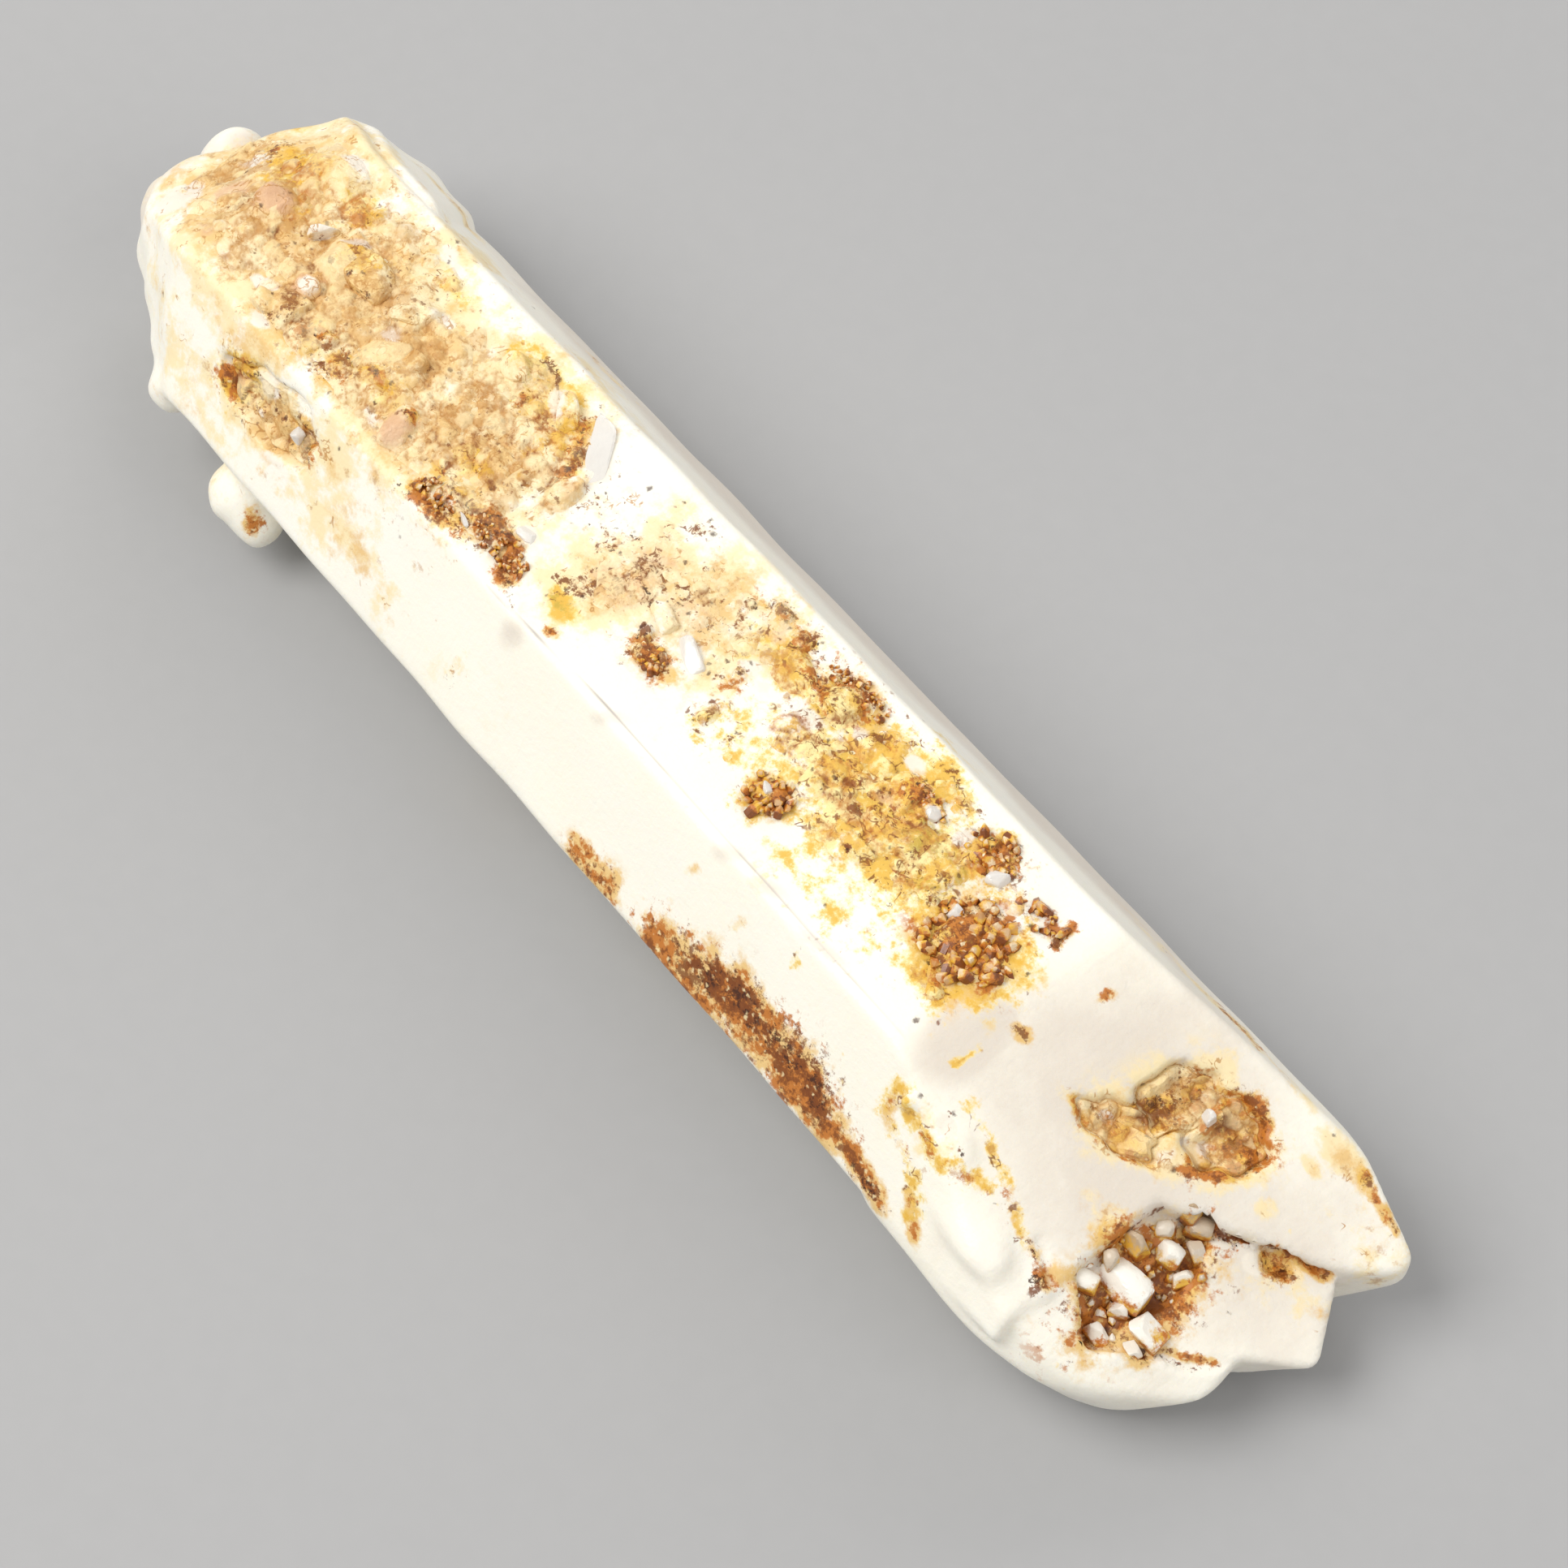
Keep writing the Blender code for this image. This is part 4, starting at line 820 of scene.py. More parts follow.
def crystal_field(x, y, spacing, height, seed):
    """Relief of crowded crystals: one crystal stands in each cell of a jittered net, and a point takes the
    highest of the nine nearest, each a leant six-sided hip roof with a small flat top. The second result is
    how far the highest stands over the next, which is nought in the seams between crystals, and the third its
    own number."""
    rng = np.random.default_rng(seed)
    rows = int((x.max() - x.min()) / spacing) + 5
    columns = int((y.max() - y.min()) / spacing) + 5
    first_x = x.min() - 2 * spacing
    first_y = y.min() - 2 * spacing
    shift = rng.uniform(0.1, 0.9, (2, rows, columns))
    seed_x = first_x + (np.arange(rows)[:, None] + shift[0]) * spacing
    seed_y = first_y + (np.arange(columns)[None, :] + shift[1]) * spacing
    turn = rng.uniform(0, math.pi / 3, (rows, columns))
    flat = rng.uniform(0.05, 0.3, (rows, columns)) * spacing
    steep = rng.uniform(0.45, 1.0, (rows, columns))
    lean = rng.normal(0, 0.22, (2, rows, columns))
    peak = height * rng.uniform(0.35, 1.0, (rows, columns))
    row = ((x - first_x) / spacing).astype(int)
    column = ((y - first_y) / spacing).astype(int)
    number = rng.uniform(0, 1, (rows, columns))
    best = np.full(x.shape, -9.0)
    second = np.full(x.shape, -9.0)
    tone = np.zeros(x.shape)
    for i in (-1, 0, 1):
        for j in (-1, 0, 1):
            at = (row + i, column + j)
            dx = x - seed_x[at]
            dy = y - seed_y[at]
            roof = peak[at] - steep[at] * np.maximum(hex_reach(dx, dy, turn[at]) - flat[at], 0)
            roof = roof + lean[0][at] * dx + lean[1][at] * dy
            second = np.maximum(second, np.minimum(best, roof))
            tone = np.where(roof > best, number[at], tone)
            best = np.maximum(best, roof)
    return best, best - second, tone


def large_crystal_field(x, y):
    """Relief of the larger crystals: each a hip roof on a leant table, the highest of them at each
    point."""
    best = np.full(x.shape, -9.0)
    for turn, (at_x, at_y, radius, height, lean, heading) in enumerate(LARGE_CRYSTALS):
        dx = x - at_x
        dy = y - at_y
        slope = 0.6 * math.tan(math.radians(lean))
        away = dx * math.cos(math.radians(heading)) + dy * math.sin(math.radians(heading))
        edge = np.maximum(hex_reach(dx, dy, turn * 0.7) - 0.45 * radius, 0)
        roof = height - 0.4 - slope * (away + 0.3 * radius) - 0.8 * edge
        best = np.maximum(best, roof)
    return best


def druse_relief(x, y, height):
    """Height of the druse over the crystal's upper faces, how deep in a seam each point lies, and its
    crystal's own number."""
    coarse, coarse_seam, coarse_tone = crystal_field(x, y, 0.95, 0.46 * height, 5)
    fine, fine_seam, fine_tone = crystal_field(x, y, 0.44, 0.26 * height, 6)
    coarse = coarse - 0.06
    large = large_crystal_field(x, y)
    relief = np.maximum(np.maximum(coarse, fine), large)
    top_two = np.sort(np.stack([coarse, fine, large]), axis=0)
    own_seam = np.where(relief == fine, fine_seam, coarse_seam + (relief == large))
    seam = np.minimum(top_two[2] - top_two[1], own_seam)
    tone = np.where(relief == fine, fine_tone, coarse_tone)
    cover = druse_cover(x, y)
    relief = relief * (0.3 + 0.7 * cover) - 0.45 * (1.0 - cover)
    return np.clip(relief, -0.45, 1.02), np.exp(-seam / 0.05), tone


def tube_mesh(loops):
    """Joins closed loops of points, shaped (loops, points, 3), into a tube of triangles with a fan at each
    end."""
    count, size, _ = loops.shape
    here = np.arange(count * size).reshape(count, size)
    after = np.roll(here, -1, axis=1)
    a, b, c, d = here[:-1], here[1:], after[1:], after[:-1]
    sides = np.stack([np.stack([a, d, c], axis=-1), np.stack([a, c, b], axis=-1)]).reshape(-1, 3)
    poles = np.stack([loops[0].mean(axis=0), loops[-1].mean(axis=0)])
    start = np.stack([np.full(size, count * size), after[0], here[0]], axis=-1)
    end = np.stack([np.full(size, count * size + 1), here[-1], after[-1]], axis=-1)
    return np.concatenate([loops.reshape(-1, 3), poles]), np.concatenate([sides, start, end])


def druse_mesh(step, height):
    """The druse as a flat tube along the crystal: each loop runs over the relief from the left border to the
    right and comes back a little way under the crystal's skin."""
    along = np.arange(DRUSE_START - 0.3, DRUSE_END + 0.6, step)
    across = np.linspace(0, 1, int(9.6 / step))
    left = np.interp(along, *zip(*LEFT_BORDER)) - 0.5
    right = np.interp(along, *zip(*RIGHT_BORDER)) + 0.5
    x = np.repeat(along[:, None], len(across), axis=1)
    y = left[:, None] + (right - left)[:, None] * across[None, :]
    relief, seam, tone = druse_relief(x, y, height)
    top = np.stack([x, y, crown_height(x, y) + relief], axis=-1)
    under = np.linspace(1, 0, 5)
    x_under = np.repeat(along[:, None], len(under), axis=1)
    y_under = left[:, None] + (right - left)[:, None] * under[None, :]
    bottom = np.stack([x_under, y_under, crown_height(x_under, y_under) - 0.9], axis=-1)
    points, faces = tube_mesh(np.concatenate([top, bottom], axis=1)[:, ::-1])
    values = {}
    for label, field in (("seam", seam), ("tone", tone)):
        loop = np.concatenate([field, np.zeros(x_under.shape)], axis=1)[:, ::-1]
        values[label] = np.concatenate([loop.ravel(), np.zeros(2)])
    return points, faces, values


# ---------------------------------------------------------------------------------------------
# Small crystals, grown in crowds, and larger ones set one by one
# ---------------------------------------------------------------------------------------------
def settle_on_skin(points, rounding):
    """Takes points along the slope of the skin's distance until they lie on it; gives them and the skin's
    outward direction there."""
    def distance(at):
        return skin_distance(at, rounding)

    for _ in range(6):
        slope = slope_of(distance, points)
        steepness = np.maximum((slope**2).sum(axis=1), 0.3)
        points = points - distance(points)[:, None] * slope / steepness[:, None]
    slope = slope_of(distance, points)
    return points, slope / np.linalg.norm(slope, axis=1)[:, None]


def crystal_crowd(feet, directions, radii, heights, seed):
    """Six-sided pointed crystals: each is four rings of six points round its axis, from a foot sunk under
    the surface to a small blunt tip, closed by a point at both ends. The shoulder zigzags, as on a quartz
    point. Also gives each point's share of the way from foot to tip, and a number from 0 to 1 for each
    crystal."""
    rng = np.random.default_rng(seed)
    count = len(feet)
    axis = directions / np.linalg.norm(directions, axis=1)[:, None]
    helper = np.where(np.abs(axis[:, 2:]) < 0.9, [[0.0, 0.0, 1.0]], [[1.0, 0.0, 0.0]])
    side = np.cross(axis, helper)
    side = side / np.linalg.norm(side, axis=1)[:, None]
    other = np.cross(axis, side)
    angle = rng.uniform(0, math.pi / 3, (count, 1)) + np.arange(6) * math.pi / 3
    angle = angle + rng.normal(0, 0.13, (count, 6))
    ring_radius = np.array([0.85, 1.0, 0.95, 0.22])
    ring_height = np.array([-0.9, 0.0, 0.35, 1.0])
    zigzag = np.array([0.0, 0.0, 0.16, 0.03])[:, None] * np.where(np.arange(6) % 2 == 0, 1, -1)
    lift = (ring_height[:, None] + zigzag)[None] * heights[:, None, None]
    width = ring_radius[None, :, None] * radii[:, None, None] * rng.uniform(0.6, 1.2, (count, 1, 6))
    along_side = side[:, None, None] * np.cos(angle)[:, None, :, None]
    along_other = other[:, None, None] * np.sin(angle)[:, None, :, None]
    spread = along_side + along_other
    rings = feet[:, None, None] + axis[:, None, None] * lift[..., None] + spread * width[..., None]
    foot = feet - axis * heights[:, None]
    tip = feet + axis * (heights * 1.05)[:, None]
    points = np.concatenate([rings.reshape(count, 24, 3), foot[:, None], tip[:, None]], axis=1)
    faces = crowd_faces(count)
    share = np.concatenate([np.repeat([0.0, 0.1, 0.5, 0.95], 6), [0.0, 1.0]])
    tone = np.repeat(rng.uniform(0, 1, count), 26)
    return points.reshape(-1, 3), faces, np.tile(share, count), tone


def crowd_faces(count):
    """Triangles of that many crystals of 26 points each."""
    here = np.arange(6)
    after = (here + 1) % 6
    sides = []
    for ring in (0, 6, 12):
        sides.append(np.stack([here + ring, after + ring, after + ring + 6], axis=1))
        sides.append(np.stack([here + ring, after + ring + 6, here + ring + 6], axis=1))
    sides.append(np.stack([np.full(6, 24), after, here], axis=1))
    sides.append(np.stack([np.full(6, 25), here + 18, after + 18], axis=1))
    one = np.concatenate(sides)
    return (one[None] + 26 * np.arange(count)[:, None, None]).reshape(-1, 3)


def hollow_feet(hollow, count, seed):
    """Scattered points on a hollow's bowl, thinner towards its rim."""
    rng = np.random.default_rng(seed)
    angle = rng.uniform(0, 2 * math.pi, count)
    reach = np.sqrt(rng.uniform(0, 1, count)) * 1.02
    depth = -np.sqrt(np.clip(1.0 - reach**2, 0, 1))
    local = np.stack([reach * np.cos(angle), reach * np.sin(angle), depth], axis=1) * np.array(hollow[3])
    return np.array(hollow[0]) + local @ hollow_axes(hollow)


def thin_out(points, gaps):
    """Keeps the points that are not nearer to an earlier kept one than its gap."""
    kept = []
    for index, point in enumerate(points):
        if all(np.linalg.norm(point - points[other]) > gaps[index] for other in kept):
            kept.append(index)
    return np.array(kept)


def hollow_crystals(hollow, radius, count, seed, rounding):
    """Small sharp crystals in a hollow: feet settled on its wall, axes leant from the wall towards its
    mouth."""
    rng = np.random.default_rng(seed)
    feet, outward = settle_on_skin(hollow_feet(hollow, count, seed), rounding)
    radii = radius * rng.lognormal(0, 0.38, count)
    kept = thin_out(feet, radii * 1.5)
    feet, outward, radii = feet[kept], outward[kept], radii[kept]
    mouth = hollow_axes(hollow)[2]
    directions = outward + 0.5 * mouth + rng.normal(0, 0.35, feet.shape)
    heights = radii * rng.uniform(0.7, 1.5, len(radii))
    return crystal_crowd(feet, directions, radii, heights, seed)


def patch_crystals(patch, unit, seed):
    """Crystals scattered over an oval patch of the druse, standing up from it at all leans."""
    middle_x, middle_y, half_length, half_width, share, count = patch
    rng = np.random.default_rng(seed)
    angle = rng.uniform(0, 2 * math.pi, count)
    reach = np.sqrt(rng.uniform(0, 1, count))
    x = middle_x + half_length * reach * np.cos(angle)
    y = middle_y + half_width * reach * np.sin(angle)
    radii = unit * share * rng.lognormal(0, 0.3, count)
    feet = np.stack([x, y, crown_height(x, y) + rng.uniform(0.0, 0.24, count)], axis=-1)
    kept = thin_out(feet, radii * 1.1)
    feet, radii = feet[kept], radii[kept]
    directions = np.array([0.0, 0.0, 1.0]) + rng.normal(0, 0.95, feet.shape) * np.array([1.0, 1.0, 0.0])
    heights = np.minimum(radii * rng.uniform(1.0, 2.0, len(radii)), 0.42)
    return crystal_crowd(feet, directions, radii, heights, seed)


def crust_mesh(hollow, spacing, height, seed):
    """The crust that lines a hollow, as a closed lens of rings about its middle. The upper side runs out past
    the rim, where it dips under the skin: a point stands at -0.9 x depth x sqrt(1 - reach squared), plus the
    relief of its crystals, which fades at the rim. The under side comes back in deeper."""
    middle, _, turn, sizes = hollow
    angle = np.arange(220) * 2 * math.pi / 220
    over = np.linspace(0.03, 1.16, 60)[:, None]
    under = np.linspace(1.16, 0.03, 8)[:, None]
    ring_x = sizes[0] * np.cos(angle) * rim_wave(angle, turn)
    ring_y = sizes[1] * np.sin(angle) * rim_wave(angle, turn)
    x = over * ring_x
    y = over * ring_y
    coarse, coarse_seam, coarse_tone = crystal_field(x, y, spacing, height, seed)
    fine, fine_seam, fine_tone = crystal_field(x, y, 0.45 * spacing, 0.5 * height, seed + 1)
    relief = np.maximum(coarse, fine) * np.clip((1.1 - over) / 0.4, 0, 1)
    seam = np.minimum(np.abs(coarse - fine), np.where(fine > coarse, fine_seam, coarse_seam))
    bowl = -0.9 * sizes[2] * np.sqrt(np.clip(1 - over**2, 0, 1)) - 0.1 - 3.0 * np.clip(over - 0.86, 0, 1)
    deep = -1.2 * sizes[2] * np.sqrt(np.clip(1 - under**2, 0, 1)) - 1.0
    top = np.stack([x, y, bowl + relief], axis=-1)
    bottom = np.stack([under * ring_x, under * ring_y, deep + 0 * angle], axis=-1)
    points, faces = tube_mesh(np.concatenate([top, bottom])[:, ::-1])
    values = []
    for field in (np.exp(-seam / 0.06), np.where(fine > coarse, fine_tone, coarse_tone)):
        loops = np.concatenate([field, np.zeros((len(under), len(angle)))])[:, ::-1]
        values.append(np.concatenate([loops.ravel(), np.zeros(2)]))
    return np.array(middle) + points @ hollow_axes(hollow), faces, *values


# Blocks that stand in the cleft: middle, half sizes, turn about the vertical, lean, own seed, and how brown
# each is.
CLEFT_BLOCKS = [
    ((31.0, -0.1, 5.4), (0.62, 0.5, 0.6), 20, 10, 41, 0.1),
    ((30.0, -1.0, 6.0), (0.55, 0.45, 0.75), -15, 5, 42, 0.9),
    ((30.9, -2.2, 5.45), (1.15, 0.72, 0.62), 12, 12, 43, 0.0),
    ((31.4, -2.9, 5.0), (0.42, 0.34, 0.45), 40, 5, 44, 0.2),
    ((29.8, -3.6, 5.95), (0.85, 0.42, 0.45), 28, 10, 45, 0.1),
    ((30.2, 1.5, 6.3), (0.62, 0.5, 0.62), 10, 10, 50, 1.0),
    ((30.9, 1.6, 5.55), (0.55, 0.42, 0.5), 35, 10, 51, 0.8),
    ((32.7, -2.6, 4.75), (0.85, 0.6, 0.45), 8, 18, 47, 0.1),
    ((32.0, -0.1, 4.95), (0.5, 0.32, 0.36), 70, 5, 55, 0.2),
    ((31.5, 1.0, 5.1), (0.5, 0.34, 0.42), -20, 8, 56, 0.6),
    ((31.6, -4.2, 4.75), (0.6, 0.36, 0.36), 0, 15, 53, 0.2),
    ((30.2, 0.4, 5.9), (0.42, 0.34, 0.4), 50, 8, 48, 0.5),
    ((29.9, -2.2, 6.1), (0.45, 0.36, 0.6), -20, 10, 49, 0.7),
    ((32.9, -3.5, 4.55), (0.42, 0.3, 0.28), -10, 15, 54, 0.3),
]


# Patches of rusty crystals on the druse: middle x and y, half length, half width, share of the size, and
# how many are tried.
RUSTY_PATCHES = [
    (17.8, 0.4, 2.0, 1.8, 1.05, 170), (15.4, 3.7, 1.3, 1.0, 0.75, 70), (7.6, -1.6, 1.1, 0.95, 0.7, 46),
    (18.7, 3.3, 1.2, 0.5, 0.65, 26), (-8.6, -3.0, 1.7, 0.6, 0.5, 70), (-12.3, -3.6, 1.1, 0.6, 0.5, 46),
    (-0.4, -1.4, 0.8, 0.5, 0.5, 26), (12.0, 3.1, 1.1, 0.5, 0.5, 26), (6.2, 4.2, 1.8, 0.6, 0.45, 46),
]


# Single crystals: middle, half sizes, turn about the vertical, lean, and the stone's own seed.
STONES = {
    "clear": [
        ((-9.8, 3.0, 11.36), (2.0, 0.56, 0.34), -50, 3, 4),
        ((0.5, 0.0, 11.45), (0.95, 0.46, 0.32), -20, 5, 9),
        ((-19.9, -5.6, 9.25), (0.34, 0.3, 0.32), 0, 0, 3),
        ((28.3, 4.1, 8.15), (0.32, 0.3, 0.32), 0, 0, 5),
        ((7.4, -1.5, 11.68), (0.36, 0.2, 0.26), -15, 0, 6),
        ((16.45, 0.8, 11.7), (0.28, 0.34, 0.3), 10, 5, 14),
        ((12.4, 3.0, 11.6), (0.42, 0.3, 0.28), -20, 5, 15),
        ((16.3, 3.15, 11.55), (0.5, 0.36, 0.3), 30, 5, 16),
        ((-10.6, -3.4, 11.6), (0.42, 0.12, 0.2), -20, 0, 17),
        ((-8.4, -1.7, 11.42), (0.55, 0.4, 0.26), 20, 5, 12),
    ],
    "tan": [
        ((-15.3, 3.0, 11.6), (1.1, 0.75, 0.5), 10, 5, 21),
        ((-9.0, 0.8, 11.6), (0.6, 0.85, 0.42), 5, 8, 22),
        ((-23.4, 0.7, 11.5), (1.5, 1.0, 0.78), 10, 5, 23),
        ((-16.0, -2.9, 11.55), (0.8, 1.1, 0.5), 15, 6, 24),
        ((-29.2, -0.1, 11.62), (1.0, 0.75, 0.6), 10, 4, 25),
        ((-24.4, -1.7, 11.5), (0.7, 0.6, 0.6), -20, 8, 26),
        ((-26.3, 0.5, 11.95), (0.8, 0.24, 0.36), 62, 8, 27),
        ((-1.6, 0.2, 11.65), (0.85, 0.42, 0.36), -18, 5, 28),
        ((-24.9, -3.4, 11.5), (0.8, 0.6, 0.55), 30, 8, 29),
        ((-12.2, 3.2, 11.65), (1.0, 0.5, 0.42), -40, 5, 30),
        ((-20.6, 1.0, 11.6), (0.8, 0.6, 0.5), 30, 5, 31),
        ((-18.2, -0.4, 11.6), (0.7, 0.55, 0.5), 0, 5, 32),
    ],
}


def block_mesh(block):
    """A sharp-edged crystal with the share of the way from its foot to its top, and one tone for the whole
    of it."""
    points, faces = stone_mesh(block[:5], 40, 26, facet_count=9, sharpness=44)
    height = points[:, 2]
    share = (height - height.min()) / (height.max() - height.min())
    return points, faces, share, np.full(len(points), block[5])


def stone_mesh(stone, meridians=32, parallels=20, facet_count=16, sharpness=14):
    """A single crystal: along each direction of a grid of longitude and latitude it reaches to the nearest
    of its scattered facets, blended a little at the edges by a power mean."""
    middle, sizes, turn, lean, seed = stone
    rng = np.random.default_rng(seed)
    four_sides = [[1, 0, 0.1], [-1, 0.2, 0], [0, 1, 0], [0, -1, -0.1]]
    facets = np.concatenate([rng.normal(size=(facet_count - 4, 3)), four_sides])
    facets = facets / np.linalg.norm(facets, axis=1)[:, None]
    depth = rng.uniform(0.82, 1.05, facet_count)
    longitude = np.arange(meridians) * 2 * math.pi / meridians
    latitude = np.linspace(-math.pi / 2, math.pi / 2, parallels)[1:-1]
    level = np.cos(latitude)[:, None]
    rise = np.sin(latitude)[:, None] + 0 * longitude
    direction = np.stack([level * np.cos(longitude), level * np.sin(longitude), rise], axis=-1)
    facing = np.maximum(direction @ facets.T / depth, 1e-3)
    reach = np.minimum((facing**sharpness).sum(axis=-1) ** (-1 / sharpness), 1.35)
    points, faces = tube_mesh(direction * reach[..., None])
    points = points * np.array(sizes)
    tilt = math.radians(lean)
    leant = [[math.cos(tilt), 0, -math.sin(tilt)], [0, 1, 0], [math.sin(tilt), 0, math.cos(tilt)]]
    spin = math.radians(turn)
    turned = [[math.cos(spin), math.sin(spin), 0], [-math.sin(spin), math.cos(spin), 0], [0, 0, 1]]
    points = points @ np.array(leant) @ np.array(turned)
    return points + np.array(middle), faces


def joined(parts):
    """Several meshes as one: each is its points, its faces, and any values of the points."""
    offsets = np.cumsum([0] + [len(part[0]) for part in parts[:-1]])
    faces = np.concatenate([part[1] + offset for offset, part in zip(offsets, parts)])
    values = [np.concatenate(value) for value in zip(*(part[2:] for part in parts))]
    return (np.concatenate([part[0] for part in parts]), faces, *values)


# ---------------------------------------------------------------------------------------------
# Materials
# ---------------------------------------------------------------------------------------------
def add_node(tree, kind, inputs=None, **settings):
    """A node with its settings, and with its inputs linked to sockets or set to values."""
    made = tree.nodes.new(kind)
    for name, value in settings.items():
        setattr(made, name, value)
    for name, value in (inputs or {}).items():
        if isinstance(value, bpy.types.NodeSocket):
            tree.links.new(value, made.inputs[name])
        else:
            made.inputs[name].default_value = value
    return made


def times(tree, first, second):
    """The product of two sockets or values."""
    return add_node(tree, "ShaderNodeMath", {0: first, 1: second}, operation="MULTIPLY").outputs[0]


def sum_of(tree, first, second):
    """The sum of two sockets or values."""
    return add_node(tree, "ShaderNodeMath", {0: first, 1: second}, operation="ADD").outputs[0]


def group_tree(name, inputs, output):
    """A shader node group with float inputs and one float output; gives the tree and its two end nodes."""
    tree = bpy.data.node_groups.new(name, "ShaderNodeTree")
    for label in inputs:
        tree.interface.new_socket(label, in_out="INPUT", socket_type="NodeSocketFloat")
    tree.interface.new_socket(output, in_out="OUTPUT", socket_type="NodeSocketFloat")
    return tree, tree.nodes.new("NodeGroupInput"), tree.nodes.new("NodeGroupOutput")


def ragged_stain_group():
    """Breaks the soft edge of a stain into clumps and grains: coarse and fine noise are added to its
    strength, a step cuts it, and nothing is left where there is no stain."""
    name = "Ragged stain"
    if name in bpy.data.node_groups:
        return bpy.data.node_groups[name]
    labels = ("Strength", "Scale", "Clumps", "Raggedness", "Threshold", "Softness")
    tree, start, end = group_tree(name, labels, "Mask")
    place = add_node(tree, "ShaderNodeTexCoord").outputs["Object"]
    broad = times(tree, start.outputs["Scale"], 0.3)
    clumps = add_node(tree, "ShaderNodeTexNoise", {"Vector": place, "Scale": broad, "Detail": 2.0})
    grain = add_node(tree, "ShaderNodeTexNoise", {
        "Vector": place, "Scale": start.outputs["Scale"], "Detail": 4.0, "Roughness": 0.70,
    })
    total = start.outputs["Strength"]
    for noise, amount in ((clumps, "Clumps"), (grain, "Raggedness")):
        centred = sum_of(tree, noise.outputs["Fac"], -0.5)
        total = sum_of(tree, total, times(tree, centred, start.outputs[amount]))
    low = add_node(tree, "ShaderNodeMath", {
        0: start.outputs["Threshold"], 1: start.outputs["Softness"],
    }, operation="SUBTRACT")
    step = add_node(tree, "ShaderNodeMapRange", {
        "Value": total, "From Min": low.outputs[0],
        "From Max": sum_of(tree, start.outputs["Threshold"], start.outputs["Softness"]),
    }, interpolation_type="SMOOTHSTEP")
    fade = add_node(tree, "ShaderNodeMapRange", {"Value": start.outputs["Strength"], "From Max": 0.15})
    tree.links.new(times(tree, step.outputs["Result"], fade.outputs["Result"]), end.inputs["Mask"])
    return tree


def broken_lines_group():
    """Thin curled lines where noise passes through its middle value, kept only in clumps where the stain
    is."""
    name = "Broken lines"
    if name in bpy.data.node_groups:
        return bpy.data.node_groups[name]
    tree, start, end = group_tree(name, ("Strength", "Scale", "Width"), "Mask")
    place = add_node(tree, "ShaderNodeTexCoord").outputs["Object"]
    noise = add_node(tree, "ShaderNodeTexNoise", {
        "Vector": place, "Scale": start.outputs["Scale"], "Detail": 2.0, "Distortion": 0.5,
    })
    off = sum_of(tree, noise.outputs["Fac"], -0.5)
    off = add_node(tree, "ShaderNodeMath", {0: off}, operation="ABSOLUTE").outputs[0]
    line = add_node(tree, "ShaderNodeMapRange", {
        "Value": off, "From Min": start.outputs["Width"],
        "From Max": times(tree, start.outputs["Width"], 0.4),
    }, interpolation_type="SMOOTHSTEP")
    gate = add_node(tree, "ShaderNodeTexNoise", {
        "Vector": place, "Scale": times(tree, start.outputs["Scale"], 0.8), "Detail": 3.0,
    })
    spread = times(tree, sum_of(tree, gate.outputs["Fac"], -0.5), 4.5)
    kept = add_node(tree, "ShaderNodeMapRange", {
        "Value": sum_of(tree, start.outputs["Strength"], spread), "From Min": 0.85, "From Max": 1.1,
    })
    fade = add_node(tree, "ShaderNodeMapRange", {"Value": start.outputs["Strength"], "From Max": 0.15})
    mask = times(tree, times(tree, line.outputs["Result"], kept.outputs["Result"]), fade.outputs["Result"])
    tree.links.new(mask, end.inputs["Mask"])
    return tree


def speck_group():
    """Small dots of oxide: in each cell of a cellular pattern whose own random number is under the density,
    the middle is a dot."""
    name = "Oxide specks"
    if name in bpy.data.node_groups:
        return bpy.data.node_groups[name]
    tree, start, end = group_tree(name, ("Density", "Scale", "Size"), "Mask")
    place = add_node(tree, "ShaderNodeTexCoord")
    wobble = add_node(tree, "ShaderNodeTexNoise", {
        "Vector": place.outputs["Object"], "Scale": 5200.0, "Detail": 2.0,
    })
    bent = add_node(tree, "ShaderNodeVectorMath", {
        0: wobble.outputs["Color"], 1: (0.0003, 0.0003, 0.0003), 2: place.outputs["Object"],
    }, operation="MULTIPLY_ADD")
    cells = add_node(tree, "ShaderNodeTexVoronoi", {
        "Vector": bent.outputs[0], "Scale": start.outputs["Scale"],
    })
    number = add_node(tree, "ShaderNodeSeparateColor", {"Color": cells.outputs["Color"]})
    chosen = add_node(tree, "ShaderNodeMath", {
        0: number.outputs["Red"], 1: start.outputs["Density"],
    }, operation="LESS_THAN")
    dot = add_node(tree, "ShaderNodeMapRange", {
        "Value": cells.outputs["Distance"], "From Min": start.outputs["Size"], "From Max": 0.12,
    }, interpolation_type="SMOOTHSTEP")
    tree.links.new(times(tree, chosen.outputs[0], dot.outputs["Result"]), end.inputs["Mask"])
    return tree


